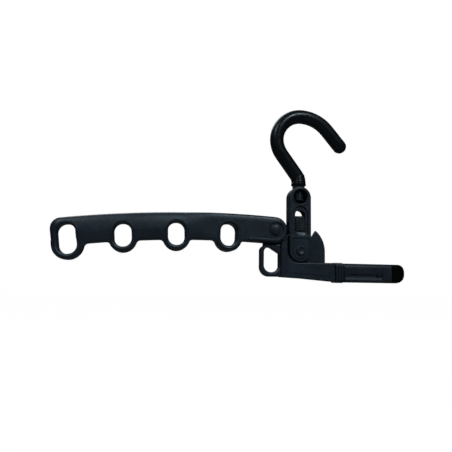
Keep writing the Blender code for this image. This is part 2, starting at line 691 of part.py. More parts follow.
def bracket(parts, cutters, plastic):
    """Wall, tapering beam and spar, with the web for both pivots and the loop of hole five."""
    half = BODY_T / 2
    loop_right = WALL_RIGHT - WALL_W
    loop_left = loop_right - HOLE_FIVE_W
    shoulder = shoulder_z(ARM_PIVOT[0])
    hole_top = shoulder - HOLE_FIVE_DROP
    hole_low = hole_top - HOLE_FIVE_H
    floor = hole_low - LOOP_FLOOR
    beam_high = BEAM_TOP + 2 * GAP
    beam_low = beam_high - BEAM_END_H
    wall_left = loop_right + WALL_INSET
    cup_r = (ARM_PIVOT[1] - shoulder + GAP) / math.cos(ARC_STEP / 2)
    cup_end = -math.acos((wall_left - ARM_PIVOT[0]) / cup_r)
    cup = arc(ARM_PIVOT, cup_r, CUP_START, cup_end)
    body = [(WALL_RIGHT, cup[0][1], 0.0)] + [(x, z, 0.0) for x, z in cup[1:]]
    body += [(wall_left, floor - GAP, WALL_FOOT_R),
             (AXIS_X + BEAM_BEND_X, BEAM_TOP - BEAM_ROOT_H, BEAM_BEND_R), (BEAM_END_X, beam_low, SMALL_CORNER),
             (BEAM_END_X, beam_high, SMALL_CORNER), (WALL_RIGHT, BEAM_TOP, NEST_R)]
    solid = plate("bracket", [rounded(body)], -half, half, parts, plastic, LINK_PIVOT, BODY_BEVEL)
    join(solid, bracket_loop(loop_left, loop_right, shoulder, hole_top, hole_low, floor, cutters))
    join(solid, bracket_web(shoulder, cutters))
    root_x = BEAM_END_X - SPAR_ROOT
    end = SPAR_END_CHAMFER
    spar = [(root_x, SPAR_T / 2, SPAR_H / 2, SPAR_CORNER),
            (SPAR_END_X - end, SPAR_T / 2, SPAR_H / 2, SPAR_CORNER),
            (SPAR_END_X, SPAR_T / 2 - end, SPAR_H / 2 - end, SPAR_CORNER - end)]
    join(solid, loft("bracket_spar", spar, cutters, origin=(0.0, 0.0, BRACE_Z)))
    pin_floor = -SPAR_T / 2 + STOP_PIN_DEPTH
    stop_hole = (STOP_PIN_X, pin_floor - FAR / 2, BRACE_Z - STOP_SLOT_DROP)
    cut(solid, rod_cutter("stop_pin_hole", STOP_PIN_R + GAP, stop_hole, FAR, cutters))
    return smooth(solid)


def bracket_loop(left, right, shoulder, hole_top, hole_low, floor, cutters):
    """Round-edged loop about hole five, whose top carries the arm."""
    outer_left = left - LOOP_SIDE_W
    shoulder_left = outer_left + SHOULDER_ASIDE
    inside = right + WALL_INSET + LOOP_ROOT
    outer = rounded([(inside, shoulder - GAP, 0.0), (shoulder_left, shoulder_z(shoulder_left), SMALL_CORNER),
                     (shoulder_left, shoulder - SHOULDER_STEP, SMALL_CORNER),
                     (outer_left, shoulder - SHOULDER_SLANT, LOOP_TOP_R),
                     (outer_left, floor, LOOP_CORNER_R), (inside, floor, 0.0)])
    hole = rounded([(left, hole_top, HOLE_FIVE_TOP_R), (left + HOLE_FIVE_FLAT, hole_top, HOLE_FIVE_SLANT_R),
                    (right, hole_top - HOLE_FIVE_SLANT, HOLE_FIVE_SLANT_R),
                    (right, hole_low, HOLE_FIVE_LOW_R), (left, hole_low, HOLE_FIVE_LOW_R)])
    return plate("bracket_loop", [outer, hole], -LOOP_T / 2, LOOP_T / 2, cutters, bevel=LOOP_BEVEL)


def bracket_web(shoulder, cutters):
    """Thin web with the sector under the lock and an ear for each pivot."""
    inside = WALL_RIGHT - WALL_W / 2
    outline = [(AXIS_X + SECTOR_R, BEAM_TOP - WEB_ROOT)] + arc(LINK_PIVOT, SECTOR_R, 0.0, SECTOR_TIP)
    outline += arc(LINK_PIVOT, TONGUE_R, SECTOR_FOOT, TONGUE_END)
    outline += arc(ARM_PIVOT, EAR_R, EAR_START, EAR_END)
    outline += [(ARM_PIVOT[0] - EAR_R, shoulder - WEB_ROOT), (inside, shoulder - WEB_ROOT),
                (inside, BEAM_TOP - WEB_ROOT)]
    holes = [circle(LINK_PIVOT, PIN_R + GAP), circle(ARM_PIVOT, PIN_R + GAP)]
    return plate("bracket_web", [outline] + holes, -WEB_T / 2, WEB_T / 2, cutters)


# Arm

def arm_point(u, drop):
    """Point at arc length u from the crown along the top edge, drop below it."""
    angle = math.pi / 2 - u / ARM_ARC_R
    centre = (ARM_CROWN[0], ARM_CROWN[1] - ARM_ARC_R)
    return polar(centre, ARM_ARC_R - drop, angle)


def arm_point_at_x(x, drop):
    return arm_point(math.asin((x - ARM_CROWN[0]) / (ARM_ARC_R - drop)) * ARM_ARC_R, drop)


def bend_outline(flat):
    """Closed outline of flat (u, v) points, v upwards, bent along the arm's arc."""
    points = []
    for i, (u, v) in enumerate(flat):
        next_u, next_v = flat[(i + 1) % len(flat)]
        count = max(1, math.ceil(abs(next_u - u) / ARM_CHORD))
        for k in range(count):
            share = k / count
            points.append(arm_point(u + (next_u - u) * share, -(v + (next_v - v) * share)))
    return points


def arm_outline(corners):
    """Rounded outline given as (u, drop, radius), bent along the arm's arc."""
    return bend_outline(rounded([(u, -drop, radius) for u, drop, radius in corners]))


def hole_places():
    """(u, half width, top, bottom, lobe half width, lobe bottom) of each hole."""
    last = ARM_PIVOT[0] - HOLE_FOUR_OFFSET - ARM_CROWN[0]
    places = []
    for i in range(HOLES):
        u = last - HOLE_PITCH * (HOLES - 1 - i)
        if i == 0:
            bottom = ARM_H + END_LOBE_DROP
            places.append((u, END_HOLE_W / 2, END_HOLE_TOP, bottom - END_HOLE_FLOOR, END_LOBE_HALF_W, bottom))
        else:
            bottom = ARM_H + LOBE_DROP
            places.append((u, HOLE_W / 2, HOLE_TOP, bottom - HOLE_FLOOR, LOBE_HALF_W, bottom))
    return places


def lobe(place, with_left=True):
    """Round lobe under the arm's lower edge, drawn from right to left with its fillets."""
    u, _, _, _, half, bottom = place
    middle = (u, half - bottom)
    fillet_v = -ARM_H - LOBE_FILLET
    reach = half + LOBE_FILLET
    rise = fillet_v - middle[1]
    aside = math.sqrt(reach * reach - rise * rise)
    slope = math.atan2(rise, aside)
    points = arc((u + aside, fillet_v), LOBE_FILLET, math.pi / 2, math.pi + slope)
    end = -math.pi - slope if with_left else -math.pi
    points += arc(middle, half, slope, end)[1:]
    if with_left:
        points += arc((u - aside, fillet_v), LOBE_FILLET, -slope, math.pi / 2)[1:]
    return points


def arm_body_outline():
    places = hole_places()
    right = ARM_PIVOT[0] + ARM_END_GAP - ARM_CROWN[0]
    left = places[0][0] - END_LOBE_HALF_W
    end_r = min(ARM_END_R, ARM_H / 2 * NEARLY)
    points = arc((right - end_r, -end_r), end_r, math.pi / 2, 0.0)
    points += arc((right - end_r, end_r - ARM_H), end_r, 0.0, -math.pi / 2)
    for i in reversed(range(HOLES)):
        points += lobe(places[i], with_left=i > 0)
    points += arc((left + ARM_CORNER_R, -ARM_CORNER_R), ARM_CORNER_R, math.pi, math.pi / 2)
    return bend_outline(points)


def hole_outline(place, grow=0.0):
    u, half, top, bottom, _, _ = place
    half += grow
    corner = half * HOLE_ROUND
    return arm_outline([(u - half, bottom + grow, corner), (u + half, bottom + grow, corner),
                        (u + half, top - grow, corner), (u - half, top - grow, corner)])


def pocket_places():
    """Start and end of each hollow between two holes, and its screw's place."""
    places = hole_places()
    edges = []
    for left, right in zip(places, places[1:]):
        edges.append((left[0] + left[1] + POCKET_WALL, right[0] - right[1] - POCKET_WALL))
    fork = ARM_PIVOT[0] - EAR_R - FORK_CLEAR - ARM_CROWN[0]
    last = places[-1]
    edges.append((last[0] + last[1] + POCKET_WALL, fork - POCKET_WALL))
    return [(low, high, arm_point((low + high) / 2, ARM_H / 2)) for low, high in edges]


def arm_shell(side, parts, cutters, plastic):
    """One half of the arm, hollow between its holes, split at the mid plane."""
    out = -1 if side == "front" else 1
    face = out * ARM_T / 2
    solid = plate("arm_%s_shell" % side, [arm_body_outline()], *sorted((out * GAP / 2, face)),
                  parts, plastic, ARM_PIVOT)
    add_face_bevel(solid, face)
    rim_span = sorted((face - out * OVERLAP, face + out * RIM_H))
    places = hole_places()
    for i, place in enumerate(places):
        rim = hole_outline(place, RIM_W)
        join(solid, plate("arm_rim_%s_%d" % (side, i + 1), [rim], *rim_span, cutters))
    for i, place in enumerate(places):
        hole = hole_outline(place)
        cut(solid, plate("arm_hole_%s_%d" % (side, i + 1), [hole], -FAR, FAR, cutters))
    pocket_span = sorted((-out * OVERLAP, face - out * ARM_SKIN))
    for i, (low, high, (x, z)) in enumerate(pocket_places()):
        label = "%s_%d" % (side, i + 1)
        pocket = arm_outline([(low, ARM_H - POCKET_WALL, 0), (high, ARM_H - POCKET_WALL, 0),
                              (high, POCKET_WALL, 0), (low, POCKET_WALL, 0)])
        cut(solid, plate("arm_pocket_" + label, [pocket, circle((x, z), BOSS_R)], *pocket_span, cutters))
        screw_end = -SCREW_DEPTH - 2 * GAP if side == "front" else 0.0
        cut(solid, rod_cutter("screw_hole_" + label, SCREW_R + GAP, (x, screw_end + FAR / 2, z), FAR, cutters))
        if side == "rear":
            seat_y = face - SCREW_HEAD_H - GAP + FAR / 2
            cut(solid, rod_cutter("screw_seat_" + label, SCREW_HEAD_R + GAP, (x, seat_y, z), FAR, cutters))
    x, z = ARM_PIVOT
    clear = EAR_R + FORK_CLEAR
    round_top = arc(ARM_PIVOT, clear, FORK_MOUTH, math.pi)
    fork = [(x + FAR, z - FAR), (x + FAR, round_top[0][1])] + round_top + [(x - clear, z - FAR)]
    cut(solid, plate("arm_fork_" + side, [fork], -SLOT_T / 2, SLOT_T / 2, cutters),
        rod_cutter("arm_pin_hole_" + side, PIN_R + GAP, (x, 0.0, z), 2 * FAR, cutters))
    return smooth(solid)


def add_face_bevel(solid, face):
    """Round only the edges on the outer face; the split plane stays sharp."""
    weights = solid.data.attributes.new("bevel_weight_edge", "FLOAT", "EDGE")
    place = solid.matrix_world
    for edge in solid.data.edges:
        ends = [place @ solid.data.vertices[v].co for v in edge.vertices]
        on_face = all(abs(end.y - face) < GAP / 2 for end in ends)
        weights.data[edge.index].value = 1.0 if on_face and is_border(solid.data, edge) else 0.0
    rounding = solid.modifiers.new("rounded edges", "BEVEL")
    rounding.width = ARM_BEVEL
    rounding.segments = 2
    rounding.limit_method = "WEIGHT"


def is_border(mesh, edge):
    """True where the two faces beside an edge stand at about a right angle."""
    key = tuple(sorted(edge.vertices))
    normals = [face.normal for face in mesh.polygons if key in face.edge_keys]
    return len(normals) == 2 and normals[0].dot(normals[1]) < math.cos(math.radians(60))


def arm_screws(parts, steel):
    """Equal screws, headed at the rear, that hold the arm's shells together."""
    head = -ARM_T / 2 + GAP
    neck = head + SCREW_HEAD_H
    profile = [(0.0, SCREW_DEPTH), (SCREW_R, SCREW_DEPTH - SCREW_R), (SCREW_R, neck), (SCREW_HEAD_R, neck),
               (SCREW_HEAD_R, head + SCREW_CHAMFER), (SCREW_HEAD_R - SCREW_CHAMFER, head), (0.0, head)]
    for i, (_, _, (x, z)) in enumerate(pocket_places()):
        turned("arm_screw_%d" % (i + 1), profile, (x, 0.0, z), parts, steel, along_y=True, steps=SMALL_STEPS)


# Brace

def brace(parts, cutters, plastic, rubber, steel):
    """Ribbed collar, sliding sleeve and rubber tip on the spar, and the pin that stops them."""
    origin = (0.0, 0.0, BRACE_Z)
    bore_y = SPAR_T / 2 + GAP
    bore_z = SPAR_H / 2 + GAP
    bore = [(0.0, bore_y, bore_z, SPAR_CORNER), (TIP_END_X, bore_y, bore_z, SPAR_CORNER)]
    sleeve = loft("brace_sleeve", sleeve_stations(), parts, plastic, origin)
    collar = loft("brace_collar", collar_stations(), parts, plastic, origin)
    cut(sleeve, loft("sleeve_bore", bore, cutters, origin=origin))
    cut(collar, loft("collar_bore", bore, cutters, origin=origin))
    pin_z = BRACE_Z - STOP_SLOT_DROP
    reach = STOP_SLOT_HALF_H
    slot = box_outline(STOP_PIN_X - BRACE_TRAVEL - reach, STOP_PIN_X + reach, pin_z - reach, pin_z + reach,
                       reach * NEARLY)
    cut(sleeve, plate("stop_slot", [slot], -FAR, -SPAR_T / 2 + OVERLAP, cutters))
    smooth(sleeve)
    smooth(collar)
    smooth(loft("brace_tip", tip_stations(bore_y - 2 * GAP, bore_z - 2 * GAP), parts, rubber, origin))
    pin_front = -SLEEVE_T / 2 + STOP_PIN_SUNK
    pin_back = -SPAR_T / 2 + STOP_PIN_DEPTH - GAP
    turned("brace_stop_pin", disc_profile(STOP_PIN_R, -pin_back, -pin_front, STOP_PIN_CHAMFER),
           (STOP_PIN_X, 0.0, pin_z), parts, steel, along_y=True)


def sleeve_station(x, shrink=0.0):
    return (x, SLEEVE_T / 2 - shrink, SLEEVE_H / 2 - shrink, SLEEVE_CORNER)


def sleeve_stations():
    edge = SLEEVE_CHAMFER
    return [sleeve_station(SLEEVE_X, edge), sleeve_station(SLEEVE_X + edge),
            sleeve_station(SLEEVE_END_X - edge), sleeve_station(SLEEVE_END_X, edge)]


def collar_stations():
    start = BEAM_END_X + GAP
    pitch = COLLAR_LENGTH / (2 * COLLAR_RIBS + 1)
    slope = pitch * (2 - RIB_END + RIB_START) / 2
    stations = [sleeve_station(start, COLLAR_GROOVE)]
    for i in range(COLLAR_RIBS):
        left = start + pitch * (2 * i + RIB_START)
        right = start + pitch * (2 * i + RIB_END)
        stations += [sleeve_station(left, -COLLAR_PROUD), sleeve_station(right, -COLLAR_PROUD),
                     sleeve_station(right + slope, COLLAR_GROOVE)]
    return stations + [sleeve_station(start + COLLAR_LENGTH, COLLAR_GROOVE)]


def tip_stations(plug_y, plug_z):
    """Plug inside the sleeve, then the sleeve's own section rounded off at its end."""
    start = SLEEVE_END_X + GAP
    stations = [(start - TIP_PLUG, plug_y, plug_z, SPAR_CORNER), (start, plug_y, plug_z, SPAR_CORNER),
                sleeve_station(start, CHAMFER), sleeve_station(start + CHAMFER)]
    for step in range(TIP_STEPS + 1):
        angle = math.pi / 2 * step / (TIP_STEPS + 1)
        left = TIP_LOW_RUN * (1 - math.sin(angle))
        rise = TIP_LOW_RISE * (1 - math.cos(angle))
        turned_in = max(0.0, 1 - left / TIP_TOP_RUN)
        drop = TIP_TOP_DROP * (1 - math.sqrt(1 - turned_in ** 2))
        x, half_y, half_z, corner = sleeve_station(TIP_END_X - left, (rise + drop) / 2)
        stations.append((x, half_y, half_z, min(corner, half_y * HOLE_ROUND), (rise - drop) / 2))
    return stations


def main():
    clear_scene()
    parts = collection(PARTS)
    cutters = collection(CUTTERS)
    plastic = material("black_plastic", (0.020, 0.023, 0.027), 0.42)
    hook_plastic = material("hook_plastic", (0.018, 0.021, 0.026), 0.35)
    lock_plastic = material("lock_plastic", (0.024, 0.027, 0.031), 0.45)
    rubber = material("black_rubber", (0.012, 0.012, 0.012), 0.75)
    steel = material("dark_steel", (0.20, 0.21, 0.22), 0.35, 1.0)
    hook(parts, cutters, hook_plastic)
    swivel(parts, steel, plastic)
    link(parts, cutters, plastic)
    lock_slider(parts, cutters, lock_plastic)
    pivot("link_pivot", LINK_PIVOT, LINK_T / 2, parts, steel, plastic)
    bracket(parts, cutters, plastic)
    pivot("arm_pivot", ARM_PIVOT, ARM_T / 2, parts, steel, plastic)
    for side in ("front", "rear"):
        arm_shell(side, parts, cutters, plastic)
    arm_screws(parts, steel)
    brace(parts, cutters, plastic, rubber, steel)


main()
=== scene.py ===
"""Looks of the folding travel hanger with five holes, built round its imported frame.

The front of the hanger faces -Y, +X runs along the brace and +Z is up. Sizes are in metres.
Places come from the frame's boxes and joints, and the sizes below are those of the details.
"""

import json
import math

import bmesh
import bpy
from mathutils import Matrix, Vector


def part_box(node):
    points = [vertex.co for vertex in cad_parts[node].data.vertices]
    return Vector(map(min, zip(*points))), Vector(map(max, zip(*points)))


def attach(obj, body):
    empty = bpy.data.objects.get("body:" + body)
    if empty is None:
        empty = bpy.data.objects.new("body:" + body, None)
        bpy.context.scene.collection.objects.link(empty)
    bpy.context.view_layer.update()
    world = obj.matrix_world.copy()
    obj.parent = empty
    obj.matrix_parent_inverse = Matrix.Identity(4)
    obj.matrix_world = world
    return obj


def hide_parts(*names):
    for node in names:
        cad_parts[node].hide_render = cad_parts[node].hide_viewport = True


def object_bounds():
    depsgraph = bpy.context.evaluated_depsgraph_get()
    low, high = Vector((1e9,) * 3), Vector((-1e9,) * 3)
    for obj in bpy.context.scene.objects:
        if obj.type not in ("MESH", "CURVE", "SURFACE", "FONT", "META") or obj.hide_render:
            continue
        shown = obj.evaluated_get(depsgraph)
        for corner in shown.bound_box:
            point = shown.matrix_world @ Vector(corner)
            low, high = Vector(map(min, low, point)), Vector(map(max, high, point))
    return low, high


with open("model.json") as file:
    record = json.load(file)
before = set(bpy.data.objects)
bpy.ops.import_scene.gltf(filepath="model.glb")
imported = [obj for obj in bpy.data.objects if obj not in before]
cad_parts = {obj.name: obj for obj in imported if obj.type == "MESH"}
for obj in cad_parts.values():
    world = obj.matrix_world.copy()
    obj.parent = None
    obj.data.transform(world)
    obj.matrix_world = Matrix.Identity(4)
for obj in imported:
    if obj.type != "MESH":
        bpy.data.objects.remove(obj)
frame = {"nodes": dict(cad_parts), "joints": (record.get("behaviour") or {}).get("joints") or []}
CAD_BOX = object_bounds()

PIVOTS = {joint["name"]: joint["pos_m"][::2] for joint in frame["joints"] if joint["type"] == "hinge"}
SCENE = bpy.context.scene

# Camera, at the photograph's viewing angle
PHOTO_SIDE = 452  # pixels
FOCAL_PIXELS = 450
CAMERA_AT = (-0.1513, -0.441, -0.1617)
CAMERA_RIGHT = (0.986, -0.1656, 0.0183)
CAMERA_FORWARD = (0.1626, 0.9804, 0.1113)

# Gaps and finish of the meshes
GAP = 0.0003
OVERLAP = 0.001
FAR = 0.03
NEARLY = 0.999
TOUCH = 1e-7
WELD = 0.000002
FINE_STEP = math.radians(7.5)
SMALL_STEP = math.radians(15)
SMALL_R = 0.003
LONG_STEP = 0.005  # longest straight step of an outline
EDGE_STEPS = 3  # resolution of rounded edges
TURN_STEPS = 64
CORNER_STEPS = 8
SPAR_CORNER = 0.0022
SHARP_ANGLE = 32
FLAT_WEIGHT = 60
ACROSS = Vector((0.0, 1.0, 0.0))
QUARTER = math.pi / 2
UPRIGHT = Matrix.Rotation(QUARTER, 4, "X")

# Places from the frame
LINK_LOW, LINK_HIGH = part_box("link")
SHELL_LOW, SHELL_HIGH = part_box("arm_front_shell")
SPAR_END_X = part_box("bracket")[1].x
SLEEVE_LOW, SLEEVE_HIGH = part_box("brace_sleeve")
COLLAR_LOW, COLLAR_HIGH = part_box("brace_collar")
TIP_LOW, TIP_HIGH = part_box("brace_tip")
HOOK_BASE_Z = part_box("hook")[0].z
LOCK_FACE_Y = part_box("lock_slider")[1].y
LINK_PIVOT = PIVOTS["link_fold"]
ARM_PIVOT = PIVOTS["arm_fold"]
AXIS_X = LINK_PIVOT[0]
ON_AXIS = (AXIS_X, 0.0, 0.0)
LINK_CREST = (AXIS_X, 0.0, LINK_HIGH.z)
BRACE_Z = (SLEEVE_LOW.z + SLEEVE_HIGH.z) / 2


def unit(value):
    return max(0.0, min(1.0, value))


# Outlines, as lists of (x, z) points

def polar(centre, radius, angle):
    return (centre[0] + radius * math.cos(angle), centre[1] + radius * math.sin(angle))


def arc(centre, radius, start, end):
    step = SMALL_STEP if radius < SMALL_R else FINE_STEP
    count = max(2, math.ceil(abs(end - start) / step - 0.01))
    return [polar(centre, radius, start + (end - start) * i / count) for i in range(count + 1)]


def circle(centre, radius):
    return arc(centre, radius, 0.0, 2 * math.pi)[:-1]


def rounded(corners):
    """Polygon of (x, z, radius) corners, each rounded by its radius."""
    points = []
    for i, (x, z, radius) in enumerate(corners):
        if radius == 0:
            points.append((x, z))
            continue
        here = Vector((x, z))
        before = (Vector(corners[i - 1][:2]) - here).normalized()
        after = (Vector(corners[(i + 1) % len(corners)][:2]) - here).normalized()
        half = before.angle(after) / 2
        reach = radius / math.tan(half)
        middle = here + (before + after).normalized() * radius / math.sin(half)
        first = here + before * reach - middle
        last = here + after * reach - middle
        turn = math.atan2(first.x * last.y - first.y * last.x, first.dot(last))
        start = math.atan2(first.y, first.x)
        points += arc(middle, radius, start, start + turn)
    return points


def box_outline(x_low, x_high, z_low, z_high, radius=0.0, top_radius=None):
    """Box with rounded corners, whose upper ones may have a radius of their own."""
    top = radius if top_radius is None else top_radius
    return rounded([(x_low, z_low, radius), (x_high, z_low, radius),
                    (x_high, z_high, top), (x_low, z_high, top)])


def spread(points, step=LONG_STEP, closed=True):
    """The same outline with extra points along its long straight runs."""
    full = []
    for here, after in zip(points, points[1:] + points[:1] if closed else points[1:]):
        run = Vector(after) - Vector(here)
        count = max(1, math.ceil(run.length / step))
        full += [tuple(Vector(here) + run * i / count) for i in range(count)]
    return full if closed else full + [points[-1]]


def signed_area(points):
    pairs = zip(points, points[1:] + points[:1])
    return sum(a[0] * b[1] - b[0] * a[1] for a, b in pairs) / 2


# Meshes

def adjust(thing, **values):
    for key, value in values.items():
        setattr(thing, key, value)
    return thing


def add_object(name, data):
    made = bpy.data.objects.new(name, data)
    SCENE.collection.objects.link(made)
    return made


def drop(*things):
    for thing in things:
        bpy.data.objects.remove(thing, do_unlink=True)


def evaluated(thing):
    """Mesh of an object as its modifiers or its curve settings make it."""
    return bpy.data.meshes.new_from_object(thing.evaluated_get(bpy.context.evaluated_depsgraph_get()))


def settle(shape, mesh):
    """Writes an edited shape to its mesh, with all its faces turned outwards."""
    bmesh.ops.recalc_face_normals(shape, faces=shape.faces)
    shape.to_mesh(mesh)
    shape.free()


def plate(name, loops, near, far, edge=0.0):
    """Flat solid from an outline and its holes, in XZ between two y, with rounded edges."""
    drawing = bpy.data.curves.new(name, "CURVE")
    adjust(drawing, dimensions="2D", fill_mode="BOTH", extrude=abs(far - near) / 2 - edge)
    adjust(drawing, bevel_depth=edge, bevel_resolution=EDGE_STEPS, offset=-edge)
    for loop in loops:
        line = loop if signed_area(loop) > 0 else list(reversed(loop))
        spline = drawing.splines.new("POLY")
        spline.points.add(len(line) - 1)
        for point, (x, z) in zip(spline.points, line):
            point.co = (x, z, 0.0, 1.0)
        spline.use_cyclic_u = True
    guide = add_object(name, drawing)
    mesh = evaluated(guide)
    drop(guide)
    mesh.transform(Matrix.Translation(ACROSS * (near + far) / 2) @ UPRIGHT)
    shape = bmesh.new()
    shape.from_mesh(mesh)
    bmesh.ops.remove_doubles(shape, verts=shape.verts, dist=WELD)
    settle(shape, mesh)
    mesh.materials.clear()
    return add_object(name, mesh)


def slab(name, loops, half, edge=0.0):
    return plate(name, loops, -half, half, edge)


def carving(loops, half, depth, out):
    """Cutter that sinks outlines into the face that lies half a thickness out."""
    return plate("carving", loops, out * (half + FAR), out * (half - depth))


def relief(loops, half, root, rise, out, edge=0.0):
    """Plate that stands proud of such a face and is rooted in it."""
    return plate("relief", loops, out * (half - root), out * (half + rise), edge)


def skin(name, rings):
    """Solid through a row of rings, each a closed loop or a single point, with flat ends."""
    shape = bmesh.new()
    loops = [[shape.verts.new(point) for point in ring] for ring in rings]
    count = max(len(loop) for loop in loops)
    for near, far in zip(loops, loops[1:]):
        for i in range(count):
            j = (i + 1) % count
            corners = (near[i % len(near)], near[j % len(near)], far[j % len(far)], far[i % len(far)])
            shape.faces.new(list(dict.fromkeys(corners)))
    for loop in (loops[0], loops[-1]):
        if len(loop) > 1:
            shape.faces.new(loop)
    mesh = bpy.data.meshes.new(name)
    settle(shape, mesh)
    return add_object(name, mesh)


def turned(name, profile, centre, along_y=False, steps=TURN_STEPS):
    """Turned solid of (radius, height) points down its outer side, with height along Z or -Y."""
    rings = []
    for radius, height in profile:
        count = steps if radius > 0 else 1
        turns = [2 * math.pi * i / count for i in range(count)]
        rings.append([(*polar((0.0, 0.0), radius, turn), height) for turn in turns])
    solid = skin(name, rings)
    if along_y:
        solid.data.transform(UPRIGHT)
    solid.data.transform(Matrix.Translation(centre))
    return solid


def below(start, profile):
    """Heights of a profile that is given as (radius, depth below a start)."""
    return [(radius, start - depth) for radius, depth in profile]


def rod(name, radius, low, high, centre, steps=TURN_STEPS):
    return turned(name, [(0.0, high), (radius, high), (radius, low), (0.0, low)], centre, steps=steps)


def section(x, half, less=0.0, corner=SPAR_CORNER, rise=0.0):
    """Rounded rectangle across the brace: half its (depth, height), less some all round."""
    ring = []
    for quarter, (side_y, side_z) in enumerate(((1, 1), (-1, 1), (-1, -1), (1, -1))):
        middle = (side_y * (half[0] - less - corner), side_z * (half[1] - less - corner))
        for i in range(CORNER_STEPS + 1):
            y, z = polar(middle, corner, (quarter + i / CORNER_STEPS) * QUARTER)
            ring.append((x, y, BRACE_Z + rise + z))
    return ring


def prism(name, points, x_low, x_high):
    """Solid with one section, given as (y, z) points, from one x to another."""
    return skin(name, [[(x, y, z) for y, z in points] for x in (x_low, x_high)])


def combine(solid, others, how):
    """Joins or cuts a solid with others, which are then removed."""
    for other in others:
        adjust(solid.modifiers.new(how, "BOOLEAN"), operation=how, solver="MANIFOLD", object=other)
    bpy.context.view_layer.update()
    mesh = evaluated(solid)
    solid.modifiers.clear()
    solid.data = mesh
    drop(*others)
    return solid


def cut(solid, *others):
    return combine(solid, others, "DIFFERENCE")


def join(solid, *others):
    return combine(solid, others, "UNION")


def dress(thing, body, *nodes, slot="black_plastic", sharp=SHARP_ANGLE):
    """Smooth shading that keeps flat faces flat, then the piece's material, body and CAD node."""
    thing.data.shade_smooth()
    thing.data.set_sharp_from_angle(angle=math.radians(sharp))
    adjust(thing.modifiers.new("even shading", "WEIGHTED_NORMAL"), keep_sharp=True, weight=FLAT_WEIGHT)
    thing.data.materials.clear()
    thing.data.materials.append(FINISHES[slot])
    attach(thing, body)
    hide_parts(*nodes)


# Materials

class Nodes:
    """A node tree, with short calls for the nodes that the finishes share."""

    def __init__(self, tree):
        self.tree = tree

    def put(self, node, inputs):
        """Sets a node's inputs, each to a value or to the output of another node."""
        for key, value in inputs.items():
            if isinstance(value, bpy.types.NodeSocket):
                self.tree.links.new(value, node.inputs[key])
            else:
                node.inputs[key].default_value = value

    def add(self, kind, inputs, **settings):
        node = adjust(self.tree.nodes.new(kind), **settings)
        self.put(node, inputs)
        return node

    def place(self):
        return self.add("ShaderNodeTexCoord", {}).outputs["Object"]

    def noise(self, scale, detail, roughness, source=None):
        place = source or self.place()
        inputs = {"Scale": scale, "Detail": detail, "Roughness": roughness, "Vector": place}
        return self.add("ShaderNodeTexNoise", inputs).outputs["Fac"]

    def ramp(self, source, stops):
        node = self.add("ShaderNodeValToRGB", {"Fac": source})
        ramp = node.color_ramp
        while len(ramp.elements) < len(stops):
            ramp.elements.new(0.5)
        for element, (at, colour) in zip(ramp.elements, stops):
            element.position = at
            element.color = (*colour, 1.0)
        return node.outputs["Color"]

    def spread(self, source, low, high, start=0.0, end=1.0):
        inputs = {"Value": source, "From Min": start, "From Max": end, "To Min": low, "To Max": high}
        return self.add("ShaderNodeMapRange", inputs).outputs["Result"]

    def mix(self, share, first, second):
        inputs = {"Fac": share, 1: first.outputs[0], 2: second.outputs[0]}
        return self.add("ShaderNodeMixShader", inputs).outputs[0]

    def bump(self, layers):
        """Normal from a chain of bumps, each (height, strength, distance)."""
        inputs = {}
        for height, strength, distance in layers:
            inputs.update({"Height": height, "Strength": strength, "Distance": distance})
            inputs["Normal"] = self.add("ShaderNodeBump", inputs).outputs["Normal"]
        return inputs["Normal"]


# Noises as (scale, detail, roughness)
PEBBLE = (2600.0, 2.0, 0.4)  # moulded texture, grains of about 0.4 mm
MOTTLE = (55.0, 3.0, 0.55)  # slow changes of tone over some 20 mm
HANDLING = (240.0, 6.0, 0.62)  # rubbed and dusty patches
SCRATCHES = (1.0, 5.0, 0.7)
SCRATCH_STRETCH = (30.0, 900.0, 700.0)
DUST = (90.0, 6.0, 0.6)
RUBBER_GRAIN = (1900.0, 3.0, 0.6)
STEEL_FILM = (160.0, 5.0, 0.6)
STEEL_MARKS = 1400.0

PEBBLE_D = 0.00012
SCRATCH_D = 0.0001
RUBBER_GRAIN_D = 0.00015
STEEL_MARK_D = 0.00005
COOL_TINT = (0.7, 0.9, 1.0, 1.0)


def shade(colour, share, lift=0.0):
    return tuple(c * share + lift for c in colour)


def new_material(name):
    """A material, its nodes and its main shader."""
    made = bpy.data.materials.new(name)
    made.use_nodes = True
    return made, Nodes(made.node_tree), made.node_tree.nodes["Principled BSDF"]


def moulded(name, colour, roughness, pebble, shine=0.5):
    """Satin moulded plastic: fine pebbled skin, slow mottling, rubbed patches and fine scratches."""
    made, look, shader = new_material(name)
    tones = [(0.32, shade(colour, 0.82)), (0.52, colour), (0.72, shade(colour, 1.22))]
    stretched = look.add("ShaderNodeMapping", {"Vector": look.place(), "Scale": SCRATCH_STRETCH})
    scratch = look.noise(*SCRATCHES, stretched.outputs["Vector"])
    look.put(shader, {
        "Base Color": look.ramp(look.noise(*MOTTLE), tones),
        "Roughness": look.spread(look.noise(*HANDLING), roughness - 0.07, roughness + 0.08, 0.35, 0.68),
        "Normal": look.bump([(look.noise(*PEBBLE), pebble, PEBBLE_D), (scratch, 0.05, SCRATCH_D)]),
        "IOR": 1.49,
        "Specular IOR Level": shine,
        "Specular Tint": COOL_TINT,
    })
    return made


def rubber_finish(name, colour):
    """Matt rubber: dull, dusty and finely mottled."""
    made, look, shader = new_material(name)
    dust = look.noise(*DUST)
    look.put(shader, {
        "Base Color": look.ramp(dust, [(0.36, colour), (0.74, shade(colour, 1.9, 0.0006))]),
        "Roughness": look.spread(dust, 0.62, 0.86, 0.3, 0.7),
        "Normal": look.bump([(look.noise(*RUBBER_GRAIN), 0.35, RUBBER_GRAIN_D)]),
        "IOR": 1.45,
        "Specular IOR Level": 0.08,
    })
    return made


